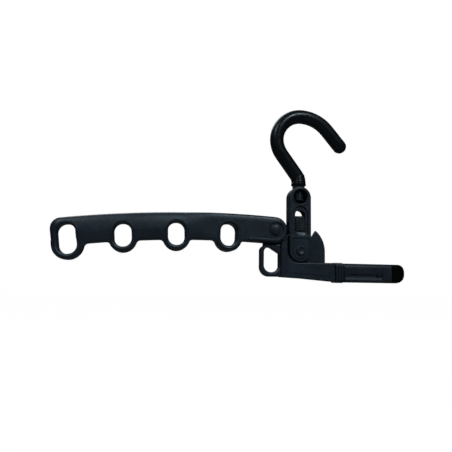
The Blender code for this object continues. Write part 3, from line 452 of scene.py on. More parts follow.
def steel_finish(name, colour, roughness):
    """Dull steel with turned marks and a thin darker film."""
    made, look, shader = new_material(name)
    film = look.noise(*STEEL_FILM)
    turning = {"Scale": STEEL_MARKS, "Distortion": 2.0, "Vector": look.place()}
    marks = look.add("ShaderNodeTexWave", turning, wave_type="RINGS")
    look.put(shader, {
        "Base Color": look.ramp(film, [(0.3, shade(colour, 0.6)), (0.65, colour)]),
        "Roughness": look.spread(film, roughness - 0.08, roughness + 0.16, 0.3, 0.7),
        "Normal": look.bump([(marks.outputs["Fac"], 0.12, STEEL_MARK_D)]),
        "Metallic": 1.0,
    })
    return made


FINISHES = {
    "black_plastic": moulded("satin_black_plastic", (0.0178, 0.0272, 0.0405), 0.41, 0.18),
    "hook_plastic": moulded("hook_black_plastic", (0.0072, 0.009, 0.0122), 0.3, 0.02, 0.3),
    "lock_plastic": moulded("lock_black_plastic", (0.011, 0.019, 0.0215), 0.41, 0.15),
    "black_rubber": rubber_finish("black_rubber_finish", (0.0006, 0.0008, 0.0007)),
    "dark_steel": steel_finish("dull_steel_finish", (0.16, 0.17, 0.18), 0.38),
}
# Near-black steel for the brace's stop pin: painted shade for the dark slot in the sleeve that the pin shows
# through
SLOT_SHADE_STEEL = steel_finish("blackened_steel_finish", (0.035, 0.038, 0.042), 0.45)


# Hook

BAR_R = 0.0071
BEND_R = 0.0262
CREST_R = 0.0375
BEND_TURN = math.radians(126.5)
CREST_TURN = math.radians(49.5)
TIP_RUN = 0.0215
NECK_R = 0.012
NECK_LEAN = BEND_TURN - QUARTER
COLLAR_R = 0.0076
COLLAR_H = 0.003
SEAM_H = 0.00012  # parting line of the hook's mould
SEAM_HALF = math.radians(7)
BAR_SIDES = 48
BAR_STEP = 0.003
TIP_CAP_STEPS = 12
RIBBED_SHARP = 50
BORE_R = 0.0031
BORE_DEPTH = 0.0146
NECK_RINGS = 3
NECK_RING_PITCH = 0.0022
NECK_RING_H = 0.0003
NECK_STEP = 0.00035  # spacing of the sections along the ringed neck

# The base's sections as (height, share taken off its radius)
BASE_PROFILE = ((COLLAR_H - 0.0002, 0.03), (COLLAR_H - 0.0006, 0.0),
                (0.0006, 0.0), (0.0002, 0.03), (0.0, 0.07))


def hook_line():
    """Centreline from the tip to the foot of the neck, as (x, z) points."""
    crest = arc((0.0, BAR_R - CREST_R), CREST_R, QUARTER - CREST_TURN, QUARTER)
    bend = arc((0.0, BAR_R - BEND_R), BEND_R, QUARTER, QUARTER + BEND_TURN)
    away = Vector((math.cos(CREST_TURN), -math.sin(CREST_TURN)))
    tip = Vector(crest[0]) + away * TIP_RUN
    run_down = Vector((math.sin(NECK_LEAN), -math.cos(NECK_LEAN)))
    neck_x = AXIS_X - NECK_R
    back_run = (neck_x + NECK_R * math.cos(NECK_LEAN) - bend[-1][0]) / run_down.x
    foot = Vector(bend[-1]) + run_down * back_run
    neck_z = foot.y - NECK_R * math.sin(NECK_LEAN)
    neck = arc((neck_x, neck_z), NECK_R, NECK_LEAN, 0.0)
    line = spread([tuple(tip)] + crest + bend[1:] + neck, BAR_STEP, closed=False)
    return line + [(AXIS_X, HOOK_BASE_Z + COLLAR_H)]


def ringed(line):
    """Sections of the bar as (place, share of its radius), with rings at the end of the line."""
    reach = NECK_RINGS * NECK_RING_PITCH
    rings = []
    left = sum((b - a).length for a, b in zip(line, line[1:]))
    for here, after in zip(line, line[1:]):
        run = (after - here).length
        count = math.ceil(run / NECK_STEP) if left < reach + run else 1
        for i in range(count):
            rest = left - run * i / count
            wave = 0.5 - 0.5 * math.cos(2 * math.pi * rest / NECK_RING_PITCH) if rest < reach else 0.0
            rings.append((here + (after - here) * i / count, 1.0 + wave * NECK_RING_H / BAR_R))
        left -= run
    return rings + [(line[-1], 1.0)]


def bar_ring(centre, along, size):
    """Ring of points round the bar, with the faint parting line where the bar is plain."""
    side = ACROSS.cross(along).normalized()
    ring = []
    for i in range(BAR_SIDES):
        angle = 2 * math.pi * i / BAR_SIDES
        seam = unit(1 - abs(math.remainder(angle, math.pi)) / SEAM_HALF) if 0.5 < size <= 1.0 else 0.0
        radius = BAR_R * size + SEAM_H * seam
        ring.append(centre + (side * math.cos(angle) + ACROSS * math.sin(angle)) * radius)
    return ring


def hook_piece():
    """Swept bar with a rounded tip, a faint parting line and a ringed neck above its base."""
    line = [Vector((x, 0.0, z)) for x, z in hook_line()]
    away = (line[0] - line[1]).normalized()
    turns = [QUARTER * i / TIP_CAP_STEPS for i in range(TIP_CAP_STEPS - 1, 0, -1)]
    cap = [(line[0] + away * BAR_R * math.sin(turn), math.cos(turn)) for turn in turns]
    base = [(Vector((AXIS_X, 0.0, HOOK_BASE_Z + up)), COLLAR_R / BAR_R - less) for up, less in BASE_PROFILE]
    places = cap + ringed(line) + base
    rings = [[line[0] + away * BAR_R]]
    for number, (centre, size) in enumerate(places):
        before = places[max(0, number - 1)][0]
        after = places[min(len(places) - 1, number + 1)][0]
        along = -away if number < len(cap) else (after - before).normalized()
        rings.append(bar_ring(centre, along, size))
    bar = skin("hook_bar", rings)
    cut(bar, rod("bore", BORE_R, HOOK_BASE_Z - OVERLAP, HOOK_BASE_Z + BORE_DEPTH, ON_AXIS))
    dress(bar, "hook", "hook", slot="hook_plastic", sharp=RIBBED_SHARP)


# Link

LINK_HALF_W = (LINK_HIGH.x - LINK_LOW.x) / 2
RIM_H = 0.0007
LINK_HALF_T = (LINK_HIGH.y - LINK_LOW.y) / 2 - RIM_H
LINK_EDGE = 0.0008
BOSS_H = 0.0005
BOSS = [(0.0, 0.0), (0.0062, 0.0), (0.0064, 0.0002), (0.0064, 0.0026), (0.0, 0.0026)]
SWIVEL_WALL = 0.0031
SWIVEL_BORE_DEPTH = 0.006
RING_UP = 0.0007  # ring's window above the middle of the link's round top
RING_CENTRE = (AXIS_X, LINK_HIGH.z - BOSS_H - LINK_HALF_W + RING_UP)
RING_R = 0.0075
RING_BACK_T = 0.0011  # wall that closes the ring's window at the rear
RING_RIM_W = 0.0015
RIM_CLEAR = 0.0002
RIM_EDGE = 0.0006
SPOT_R = 0.0058
SPOT_D = 0.006
SLOT_HALF = 0.0037
POCKET_HALF = 0.0036
SECTOR_R = 0.0276
SLOT_TOP = SECTOR_R + 0.0014
POCKET_HALF_W = 0.008
WINDOW_HALF_W = 0.0054
WINDOW_LOW = 0.0186
WINDOW_TOP = 0.0417
WINDOW_CORNER = 0.0012
RAIL_OUT_W = 0.0101  # raised rails either side of the lock's window
RAIL_IN_W = 0.008
RAIL_LOW = WINDOW_LOW - 0.001
RAIL_TOP = WINDOW_TOP + 0.0008
RECESS_D = 0.0014
RECESS_HALF_W = 0.0076
RECESS_ABOVE = 0.0038
RECESS_CORNER = 0.001
RAMP_H = 0.0028  # sloped ledge under the window
RAMP_HALF_W = 0.0052
KNOB_W = 0.0024  # raised left end of the ledge
KNOB_H = 0.0006
KNOB_START = 0.0002
KNOB_CHAMFER = 0.0004
FOOT_TOP = 0.0128
FOOT_HALF_W = 0.0098
FOOT_CORNER = 0.0015
FOOT_D = 0.0007
FOOT_DISC_R = 0.0082
PIN_BORE_R = 0.0033


def link_z(up):
    """Place in z of a height above the link's pivot."""
    return LINK_PIVOT[1] + up


def about_axis(half_width, low, high, *radii):
    return box_outline(AXIS_X - half_width, AXIS_X + half_width, low, high, *radii)


def arch(half_width, low, high, radius):
    """Box about the link's axis with a round top."""
    return about_axis(half_width, low, high, radius, half_width * NEARLY)


def link_piece():
    """Clevis with a rimmed ring, a recessed lock window between rails and a round foot."""
    half = LINK_HALF_T
    outline = box_outline(LINK_LOW.x, LINK_HIGH.x, LINK_LOW.z, LINK_HIGH.z - BOSS_H, LINK_HALF_W * NEARLY)
    window = arch(WINDOW_HALF_W, link_z(WINDOW_LOW) + GAP, link_z(WINDOW_TOP), WINDOW_CORNER)
    solid = slab("link_body", [spread(outline), window], half, LINK_EDGE)
    join(solid, turned("boss", below(0.0, BOSS), LINK_CREST))
    slot = about_axis(FAR, link_z(-FAR), link_z(SLOT_TOP))
    pocket = about_axis(POCKET_HALF_W, link_z(SLOT_TOP) - OVERLAP, link_z(WINDOW_TOP), WINDOW_CORNER)
    cut(solid, plate("ring_window", [circle(RING_CENTRE, RING_R)], -FAR, half - RING_BACK_T),
        slab("slot", [slot], SLOT_HALF),
        slab("pocket", [pocket], POCKET_HALF),
        slab("pin_bore", [circle(LINK_PIVOT, PIN_BORE_R)], FAR),
        rod("swivel_bore", BORE_R, -SWIVEL_BORE_DEPTH, FAR, LINK_CREST),
        rod("spot", SPOT_R, -SWIVEL_WALL - SPOT_D, -SWIVEL_WALL, LINK_CREST))
    for out in (-1, 1):
        link_face(solid, out)
    dress(solid, "link", "link")


def link_face(solid, out):
    """Rim, rails, window recess, sloped ledge and foot border on one face of the link."""
    half = LINK_HALF_T
    ledge = link_z(WINDOW_LOW)
    recess = arch(RECESS_HALF_W, ledge, link_z(WINDOW_TOP + RECESS_ABOVE), RECESS_CORNER)
    foot = about_axis(FOOT_HALF_W, link_z(-FOOT_HALF_W), link_z(FOOT_TOP), FOOT_HALF_W * NEARLY, FOOT_CORNER)
    cut(solid, carving([recess], half, RECESS_D, out),
        carving([foot, circle(LINK_PIVOT, FOOT_DISC_R)], half, FOOT_D, out))
    floor = out * (half - RECESS_D)
    proud = out * (half + OVERLAP)
    ramp = [(proud, ledge - RAMP_H * (1 + OVERLAP / RECESS_D)), (floor, ledge),
            (floor, ledge + OVERLAP), (proud, ledge + OVERLAP)]
    cut(solid, prism("ramp", ramp, AXIS_X - RAMP_HALF_W, AXIS_X + RAMP_HALF_W))
    foot_z = ledge - RAMP_H
    knob = [(floor, ledge - KNOB_START), (floor + out * KNOB_H, ledge - KNOB_START),
            (out * (half + KNOB_H), foot_z + KNOB_CHAMFER), (out * (half + KNOB_H * 0.6), foot_z),
            (floor, foot_z)]
    rim = [circle(RING_CENTRE, RING_R + RING_RIM_W), circle(RING_CENTRE, RING_R + RIM_CLEAR)]
    parts = [relief(rim, half, OVERLAP, RIM_H, out, RIM_EDGE),
             prism("knob", knob, AXIS_X - RAMP_HALF_W, AXIS_X - RAMP_HALF_W + KNOB_W)]
    round_end = (RAIL_OUT_W - RAIL_IN_W) / 2 * NEARLY
    for side in (-1, 1):
        sides = [AXIS_X + side * width for width in (RAIL_IN_W, RAIL_OUT_W)]
        rail = box_outline(*sides, link_z(RAIL_LOW), link_z(RAIL_TOP), round_end)
        parts.append(relief([rail], half, OVERLAP, RIM_H, out, RIM_EDGE))
    join(solid, *parts)


# Lock slider

PAD_LOW = 0.0192
PAD_H = 0.0159
PAD_HALF_W = WINDOW_HALF_W - GAP
PAD_CORNER = 0.001
PAD_EDGE = 0.0009
CORE_Y = 0.0031
CORE_LOW = SECTOR_R + 2 * GAP
CORE_H = 0.0072
CORE_HALF_W = 0.0074
CORE_CORNER = 0.0008
BRIDGE_INSET = 0.001
BRIDGE_CORNER = 0.0004
RIBS = 3
RIB_START = 0.001
RIB_PITCH = 0.0023
RIB_T = 0.0011
RIB_H = 0.0006
RIB_EDGE = 0.0004
RIB_R = 0.0085  # the ribs curve up towards their ends
RIB_HALF_TURN = math.radians(27)


def lock_piece():
    """Thumb slider: a round-topped pad on each face, with grip ribs, joined by its core."""
    low = link_z(PAD_LOW)
    core_low = link_z(CORE_LOW)
    core = about_axis(CORE_HALF_W, core_low, core_low + CORE_H, CORE_CORNER)
    solid = slab("lock_slider_body", [core], CORE_Y, GAP)
    face = LOCK_FACE_Y - RIB_H
    pad = arch(PAD_HALF_W, low, low + PAD_H, PAD_CORNER)
    bridge_top = core_low + CORE_H - BRIDGE_INSET
    bridge = arch(PAD_HALF_W - BRIDGE_INSET, core_low + BRIDGE_INSET, bridge_top, BRIDGE_CORNER)
    start = -QUARTER - RIB_HALF_TURN
    end = -QUARTER + RIB_HALF_TURN
    for out in (-1, 1):
        parts = [relief([bridge], CORE_Y, OVERLAP, OVERLAP, out),
                 plate("pad", [pad], out * (CORE_Y + GAP), out * face, PAD_EDGE)]
        for i in range(RIBS):
            middle = (AXIS_X, low + RIB_START + i * RIB_PITCH + RIB_R)
            rib = arc(middle, RIB_R, start, end) + arc(middle, RIB_R - RIB_T, end, start)
            parts.append(relief([rib], face, OVERLAP, RIB_H, out, RIB_EDGE))
        join(solid, *parts)
    dress(solid, "lock", "lock_slider", slot="lock_plastic")


# Bracket

BODY_HALF = 0.008
BODY_EDGE = 0.0012
BODY_LOW_R = 0.002
WEB_HALF = 0.0026
SECTOR_TIP = math.radians(49.5)
SECTOR_FOOT = math.radians(46)
TONGUE_R = 0.0193
TONGUE_END = math.radians(128)
EAR_R = 0.0114
EAR_START = math.radians(-20)
EAR_END = math.radians(188)
WEB_EDGE = 0.0006
WEB_ROOT = 0.003
NEST_GAP = 0.0025
NEST_R = 0.0119
BEAM_DROP = 0.0123
BEAM_END_X = 0.0336
BEAM_END_H = 0.0192
BEAM_ROOT_H = 0.0159
BEAM_BEND_X = 0.0032
BEAM_BEND_R = 0.05
WALL_W = 0.0071
WALL_INSET = 0.0006
ARM_H = 0.0268
ARM_END_GAP = 0.0127
EYE_W = 0.0163  # the eye is hole five, in the bracket's loop
EYE_H = 0.0246
EYE_DROP = 0.0037
EYE_FLAT = 0.0062
EYE_SLANT = 0.0062
EYE_TOP_R = 0.0045
EYE_BEND_R = 0.0025
EYE_FLOOR_R = 0.007
LOOP_HALF = 0.005
LOOP_EDGE = 0.0016
LOOP_SIDE_W = 0.0036
LOOP_FLOOR = 0.0046
LOOP_ROOT = 0.004
LOOP_FLOOR_R = 0.0095
SHOULDER_IN = 0.0048  # from the loop's left side to the arm's seat
SHOULDER_R = 0.0008
SHOULDER_DROP = 0.0018
BROW_DROP = 0.0036
BROW_R = 0.0055
SPAR_HALF = (0.0067, 0.0074)
SPAR_CHAMFER = 0.001
SPAR_ROOT = 0.004
GROOVE_W = 0.0011  # upright grooves on the wall
GROOVE_D = 0.0005
GROOVE_ASIDES = (0.0018, 0.0044)
GROOVE_LOW = 0.0045
GROOVE_TOP = 0.002
PANEL_D = 0.0004  # shallow panel along the beam
PANEL_H = 0.0014
PANEL_START = 0.006
PANEL_END = 0.0035
PANEL_ROOT_UP = 0.0048
PANEL_END_UP = 0.0042
PANEL_LOW_R = 0.0012
PANEL_TOP_R = 0.0006

BEAM_TOP = LINK_PIVOT[1] - BEAM_DROP
BEAM_ROOT_LOW = BEAM_TOP - BEAM_ROOT_H
BEAM_END_TOP = BEAM_TOP + 2 * GAP
BEAM_END_LOW = BEAM_END_TOP - BEAM_END_H
WALL_RIGHT = AXIS_X - LINK_HALF_W - NEST_GAP
LOOP_RIGHT = WALL_RIGHT - WALL_W


# Arm's measures along its arc: u runs right from the crown and v up from the top edge

ARM_CROWN = (ARM_PIVOT[0] - 0.0622, SHELL_HIGH.z)
ARM_ARC_R = 1.065
ARM_END_R = 0.013
HOLE_PITCH = 0.0521
HOLE_FOUR_OFFSET = 0.0472
HOLES = 4
END_LOBE_HALF_W = 0.015
LOBE_HALF_W = 0.0136
LOBE_FILLET = 0.0045
ARM_CORNER_R = 0.0105
ARM_HALF_T = -SHELL_LOW.y - RIM_H
ARM_EDGE = 0.002
CROWN_W = 0.0175  # reach of the left half's rounding from the top edge
CROWN_D = 0.0062  # how far it takes that edge back
RIGHT_CROWN_W = 0.007  # the same on the right half
RIGHT_CROWN_D = 0.002
CROWN_STEPS = 14
CROWN_SPACING = 1.4  # draws the cuts together near the edge
CORNER_FADE_START = 0.02  # fade of the left end's rounding
CORNER_FADE = 0.016
FALL_START = 0.015  # where the left half's fall to the lower edge starts
FALL_D = 0.0022
FALL_STEPS = 4
FULL_END_U = -0.004  # where the right half's shape begins
FULL_FADE = 0.026
BEND_STEP = 0.0045  # spacing of the cuts that let the arm bend smoothly
HOLE_ROUND = 0.95
HOLE_RIM_W = 0.0031
HOLE_RIM_CLEAR = 0.0001
HOLE_RIM_EDGE = 0.0005
RELIEF_ROOT = 0.0018
MOUTH_R = 0.0024  # rounding of the holes' edges
MOUTH_STEPS = 6
MOUTH_CLEAR = 0.00005
BORDER_IN = 0.0014  # bead's distance from the arm's outline
BORDER_W = 0.0026
BORDER_START = 0.006
BORDER_END = math.radians(62)
PIVOT_GROOVE_R = 0.0076
PIVOT_GROOVE_W = 0.0016
PIVOT_GROOVE_D = 0.0011
FORK_CLEAR = 0.0006
FORK_MOUTH = math.radians(45)  # how far up its round end the fork is open
SCREW_SEAT_R = 0.0032
SCREW_SEAT_D = 0.0022

# Each hole as (u, half width, top, bottom, lobe half width, lobe bottom), from the arm's tip on
LAST_HOLE_U = ARM_PIVOT[0] - HOLE_FOUR_OFFSET - ARM_CROWN[0]
HOLE_SIZES = [(0.0088, 0.0068, 0.035, END_LOBE_HALF_W, 0.0406)]
HOLE_SIZES += [(0.0084, 0.01, 0.0322, LOBE_HALF_W, 0.038)] * (HOLES - 1)
HOLE_PLACES = [(LAST_HOLE_U - HOLE_PITCH * (HOLES - 1 - i), *size) for i, size in enumerate(HOLE_SIZES)]
ARM_LEFT = HOLE_PLACES[0][0] - END_LOBE_HALF_W
ARM_RIGHT = ARM_PIVOT[0] + ARM_END_GAP - ARM_CROWN[0]


def arm_point(u, drop):
    """Point at arc length u from the crown along the top edge, drop below it."""
    angle = QUARTER - u / ARM_ARC_R
    return polar((ARM_CROWN[0], ARM_CROWN[1] - ARM_ARC_R), ARM_ARC_R - drop, angle)


def shoulder_z(x):
    """Height of the seat under the arm's lower edge."""
    return arm_point(math.asin((x - ARM_CROWN[0]) / (ARM_ARC_R - ARM_H)) * ARM_ARC_R, ARM_H)[1] - GAP


SHOULDER = shoulder_z(ARM_PIVOT[0])
EYE_TOP = SHOULDER - EYE_DROP
EYE_LOW = EYE_TOP - EYE_H
LOOP_LOW = EYE_LOW - LOOP_FLOOR


def bracket_piece():
    """Wall, beam and spar, the loop of hole five and the web with the lock's sector."""
    wall_left = LOOP_RIGHT + WALL_INSET
    cup_r = ARM_PIVOT[1] - SHOULDER + GAP
    wall_top = ARM_PIVOT[1] - cup_r / 2
    edge = BODY_EDGE + GAP
    body = [(WALL_RIGHT, wall_top, edge), (wall_left, wall_top, edge),
            (wall_left, LOOP_LOW - GAP, BODY_LOW_R),
            (AXIS_X + BEAM_BEND_X, BEAM_ROOT_LOW, BEAM_BEND_R), (BEAM_END_X, BEAM_END_LOW, edge),
            (BEAM_END_X, BEAM_END_TOP, edge), (WALL_RIGHT, BEAM_TOP, NEST_R)]
    solid = slab("bracket_body", [spread(rounded(body))], BODY_HALF, BODY_EDGE)
    cut(solid, slab("cup", [circle(ARM_PIVOT, cup_r)], FAR))
    spar = [section(BEAM_END_X - SPAR_ROOT, SPAR_HALF), section(SPAR_END_X - SPAR_CHAMFER, SPAR_HALF),
            section(SPAR_END_X, SPAR_HALF, SPAR_CHAMFER, SPAR_CORNER - SPAR_CHAMFER)]
    join(solid, loop_part(), web_part(), skin("spar", spar))
    for out in (-1, 1):
        bracket_face(solid, out)
    dress(solid, "bracket", "bracket")


def loop_part():
    """Round-edged loop about hole five, whose top carries the arm."""
    left = LOOP_RIGHT - EYE_W
    outer_left = left - LOOP_SIDE_W
    seat_left = outer_left + SHOULDER_IN
    inside = LOOP_RIGHT + WALL_INSET + LOOP_ROOT
    outer = [(inside, SHOULDER - GAP, 0.0), (seat_left, shoulder_z(seat_left), SHOULDER_R),
             (seat_left, SHOULDER - SHOULDER_DROP, SHOULDER_R), (outer_left, SHOULDER - BROW_DROP, BROW_R),
             (outer_left, LOOP_LOW, LOOP_FLOOR_R), (inside, LOOP_LOW, 0.0)]
    eye = [(left, EYE_TOP, EYE_TOP_R), (left + EYE_FLAT, EYE_TOP, EYE_BEND_R),
           (LOOP_RIGHT, EYE_TOP - EYE_SLANT, EYE_BEND_R), (LOOP_RIGHT, EYE_LOW, EYE_FLOOR_R),
           (left, EYE_LOW, EYE_FLOOR_R)]
    return slab("loop", [spread(rounded(line)) for line in (outer, eye)], LOOP_HALF, LOOP_EDGE)


def web_part():
    """Thin web with the sector under the lock and an ear for each pivot."""
    inside = WALL_RIGHT - WALL_W / 2
    root = BEAM_TOP - WEB_ROOT
    outline = [(AXIS_X + SECTOR_R, root)] + arc(LINK_PIVOT, SECTOR_R, 0.0, SECTOR_TIP)
    outline += arc(LINK_PIVOT, TONGUE_R, SECTOR_FOOT, TONGUE_END) + arc(ARM_PIVOT, EAR_R, EAR_START, EAR_END)
    outline += [(ARM_PIVOT[0] - EAR_R, SHOULDER - WEB_ROOT), (inside, SHOULDER - WEB_ROOT), (inside, root)]
    holes = [circle(LINK_PIVOT, PIN_BORE_R), circle(ARM_PIVOT, PIN_BORE_R)]
    return plate("web", [outline] + holes, -WEB_HALF, WEB_HALF, WEB_EDGE)


def bracket_face(solid, out):
    """Upright grooves on the wall and a shallow panel on the beam."""
    cutters = []
    run = (BEAM_ROOT_LOW + GROOVE_LOW, LINK_PIVOT[1] + GROOVE_TOP)
    for aside in GROOVE_ASIDES:
        left = LOOP_RIGHT + WALL_INSET + aside
        groove = box_outline(left, left + GROOVE_W, *run, GROOVE_W / 2 * NEARLY)
        cutters.append(carving([groove], BODY_HALF, GROOVE_D, out))
    left, low = WALL_RIGHT + PANEL_START, BEAM_ROOT_LOW + PANEL_ROOT_UP
    right, end_low = BEAM_END_X - PANEL_END, BEAM_END_LOW + PANEL_END_UP
    panel = [(left, low, PANEL_LOW_R), (right, end_low, PANEL_LOW_R),
             (right, end_low + PANEL_H, PANEL_TOP_R), (left, low + PANEL_H, PANEL_TOP_R)]
    cut(solid, *cutters, carving([rounded(panel)], BODY_HALF, PANEL_D, out))


# Arm

def lobe(place, with_left=True):
    """Round lobe under the arm's lower edge, drawn from right to left with its fillets."""
    u, _, _, _, half, bottom = place
    middle = (u, half - bottom)
    fillet_v = -ARM_H - LOBE_FILLET
    reach = half + LOBE_FILLET
    rise = fillet_v - middle[1]
    aside = math.sqrt(reach * reach - rise * rise)
    slope = math.atan2(rise, aside)
    points = arc((u + aside, fillet_v), LOBE_FILLET, QUARTER, math.pi + slope)
    end = -math.pi - slope if with_left else -math.pi
    points += arc(middle, half, slope, end)[1:]
    if with_left:
        points += arc((u - aside, fillet_v), LOBE_FILLET, -slope, QUARTER)[1:]
    return points


def right_end(inset=0.0, last=QUARTER):
    """Arcs round the arm's right end from its lower edge on."""
    middle_u = ARM_RIGHT - ARM_END_R
    return (arc((middle_u, ARM_END_R - ARM_H), ARM_END_R - inset, -QUARTER, 0.0)
            + arc((middle_u, -ARM_END_R), ARM_END_R - inset, 0.0, last))


def arm_outline_flat():
    points = list(reversed(right_end()))
    for i in reversed(range(HOLES)):
        points += lobe(HOLE_PLACES[i], with_left=i > 0)
    points += arc((ARM_LEFT + ARM_CORNER_R, -ARM_CORNER_R), ARM_CORNER_R, math.pi, QUARTER)
    return spread(points)


def hole_flat(place, grow=0.0):
    u, half, top, bottom, _, _ = place
    half += grow
    return box_outline(u - half, u + half, -bottom - grow, -top + grow, half * HOLE_ROUND)


def border_flat():
    """Bead that runs along the arm's lower edge and round its right end."""
    start = HOLE_PLACES[-1][0] + LOBE_HALF_W + BORDER_START
    insets = (BORDER_IN, BORDER_IN + BORDER_W)
    outer, inner = [[(start, inset - ARM_H)] + right_end(inset, BORDER_END) for inset in insets]
    return spread(outer + list(reversed(inner)), BEND_STEP)


def sunk(u, v):
    """How far the face lies back, by its upper rounding and its fall to the lower edge."""
    corner = (ARM_LEFT + ARM_CORNER_R, -ARM_CORNER_R)
    full = unit((FULL_END_U - u) / FULL_FADE)
    reach = RIGHT_CROWN_W + (CROWN_W - RIGHT_CROWN_W) * full
    depth = RIGHT_CROWN_D + (CROWN_D - RIGHT_CROWN_D) * full
    if u < corner[0] and v > corner[1]:
        inside = ARM_CORNER_R - math.hypot(u - corner[0], v - corner[1])
    else:
        inside = min(-v, u - ARM_LEFT + reach * unit((-v - CORNER_FADE_START) / CORNER_FADE))
    share = unit(1 - inside / reach)
    low = unit((-v - FALL_START) / (ARM_H - FALL_START))
    return depth * (1 - math.sqrt(1 - share * share)) + FALL_D * low * low * full


def slice_mesh(shape, at, normal, **settings):
    parts = shape.verts[:] + shape.edges[:] + shape.faces[:]
    bmesh.ops.bisect_plane(shape, geom=parts, dist=TOUCH, plane_co=at, plane_no=normal, **settings)


def arm_cover(side, out):
    """Half of the arm: a flat plate, rounded, bent and closed at the parting plane."""
    loops = [arm_outline_flat()] + [spread(hole_flat(place)) for place in HOLE_PLACES]
    solid = plate("arm_%s_cover" % side, loops, -ARM_HALF_T, ARM_HALF_T, ARM_EDGE)
    shape = bmesh.new()
    shape.from_mesh(solid.data)
    reaches = [CROWN_W * (i / CROWN_STEPS) ** CROWN_SPACING for i in range(1, CROWN_STEPS + 1)]
    down = reaches + [CROWN_W + (ARM_H - CROWN_W) * i / FALL_STEPS for i in range(1, FALL_STEPS + 1)]
    cuts = int((ARM_RIGHT - ARM_LEFT) / BEND_STEP) - 1
    across = reaches + [CROWN_W + i * BEND_STEP for i in range(1, cuts)]
    for reach in down:
        slice_mesh(shape, (0.0, 0.0, -reach), (0.0, 0.0, 1.0))
    for reach in across:
        slice_mesh(shape, (ARM_LEFT + reach, 0.0, 0.0), (1.0, 0.0, 0.0))
    for vert in shape.verts:
        u, y, v = vert.co
        x, z = arm_point(u, -v)
        vert.co = (x, y * (1 - sunk(u, v) / ARM_HALF_T), z)
    shape.normal_update()
    slice_mesh(shape, (0.0, out * GAP / 2, 0.0), (0.0, -out, 0.0), clear_outer=True)
    rim = [edge for edge in shape.edges if edge.is_boundary]
    bmesh.ops.triangle_fill(shape, use_beauty=True, edges=rim, normal=(0.0, -out, 0.0))
    settle(shape, solid.data)
    return solid


def laid_on(solid, out):
    """Bends a flat piece along the arm and lays it back with the arm's face."""
    for vert in solid.data.vertices:
        u, y, v = vert.co
        x, z = arm_point(u, -v)
        vert.co = (x, y - out * sunk(u, v), z)
    return solid


def hole_mouth(place, out):
    """Cutter that rounds a hole's edge on one face."""
    turns = [QUARTER * i / MOUTH_STEPS for i in range(MOUTH_STEPS + 1)]
    levels = [(MOUTH_R * (1 - math.sin(turn)), MOUTH_R * (1 - math.cos(turn))) for turn in turns]
    rings = []
    for grow, depth in [(MOUTH_R, -OVERLAP)] + levels + [(0.0, MOUTH_R + OVERLAP)]:
        y = out * (ARM_HALF_T + RIM_H - depth)
        rings.append([(x, y, z) for x, z in hole_flat(place, grow + MOUTH_CLEAR)])
    return laid_on(skin("mouth", rings), out)


def arm_shell(side):
    """Front or rear shell with rimmed holes, a fork, a sunk ring at the pivot and screw seats."""
    out = -1 if side == "front" else 1
    half = ARM_HALF_T
    solid = arm_cover(side, out)
    rims = []
    for place in HOLE_PLACES:
        loops = [spread(hole_flat(place, HOLE_RIM_W)), spread(hole_flat(place, HOLE_RIM_CLEAR))]
        rims.append(laid_on(relief(loops, half, RELIEF_ROOT, RIM_H, out, HOLE_RIM_EDGE), out))
    join(solid, *rims)
    cut(solid, *[hole_mouth(place, out) for place in HOLE_PLACES])
    join(solid, laid_on(relief([border_flat()], half, RELIEF_ROOT, RIM_H, out, RIM_EDGE), out))
    x, z = ARM_PIVOT
    clear = EAR_R + FORK_CLEAR
    round_top = arc(ARM_PIVOT, clear, FORK_MOUTH, math.pi)
    fork = [(x + FAR, z - FAR), (x + FAR, round_top[0][1])] + round_top + [(x - clear, z - FAR)]
    ring = [circle(ARM_PIVOT, PIVOT_GROOVE_R), circle(ARM_PIVOT, PIVOT_GROOVE_R - PIVOT_GROOVE_W)]
    cutters = [slab("fork", [fork], SLOT_HALF),
               slab("bore", [circle(ARM_PIVOT, PIN_BORE_R)], FAR),
               carving(ring, half, PIVOT_GROOVE_D, out)]
    if side == "rear":
        cutters += [carving([circle((x, z), SCREW_SEAT_R)], half, SCREW_SEAT_D, out)
                    for _, x, z, _, _ in screw_places()]
    cut(solid, *cutters)
    dress(solid, "arm", "arm_%s_shell" % side)


def screw_places():
    """Name, centre line and two ends of each screw, from its CAD node's box."""
    boxes = [(name, *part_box(name)) for name in ("arm_screw_%d" % (i + 1) for i in range(HOLES))]
    return [(name, (low.x + high.x) / 2, (low.z + high.z) / 2, low.y, high.y) for name, low, high in boxes]


# Pivots, swivel and screws: profiles as (radius, depth below the end they start from)

ROUND_SHARP = 40
HEAD_R = 0.0049
HEAD_T = 0.0016
PIN_R = 0.003
PIN_END = [(PIN_R, -0.0002), (0.0028, 0.0), (0.0, 0.0)]
DISHED = [(0.0, 0.0013), (0.0022, 0.0013), (0.0028, 0.0008), (0.0034, 0.0001), (0.0038, 0.0),
          (0.0043, 0.0003)]
DOMED = [(0.0, 0.0), (0.0008, 0.0), (0.002, 0.0001), (0.0031, 0.0003), (0.004, 0.0006)]
HEAD_SIDE = [(0.0047, 0.001), (HEAD_R, 0.0014), (HEAD_R, HEAD_T), (PIN_R, HEAD_T)]
CAP_BORE = [(0.0, 0.0012), (0.0033, 0.0012), (0.0033, 0.0), (HEAD_R, 0.0)]
CAP_END = [(HEAD_R, -0.0011), (0.0047, -0.0006), (0.0042, -0.0002), (0.0036, 0.0), (0.0, 0.0)]
SCREW_TIP = [(0.0, 0.0), (0.001, 0.0004), (0.0014, 0.0014)]
SCREW_HEAD = [(0.0014, -0.0019), (0.0029, -0.0019), (0.0029, -0.0009), (0.0026, -0.0004), (0.0019, -0.0001),
              (0.0, 0.0)]
SCREW_STEPS = 32
CROSS_LONG = 0.0019
CROSS_WIDE = 0.00035
CROSS_D = 0.0009
NUT_R = 0.0043
NUT_FLANGE_T = 0.0018
NUT_FLOOR = [(0.0, GAP), (BORE_R, GAP)]
NUT_TOP = [(BORE_R, 0.0), (0.0038, 0.0), (NUT_R, 0.0005)]
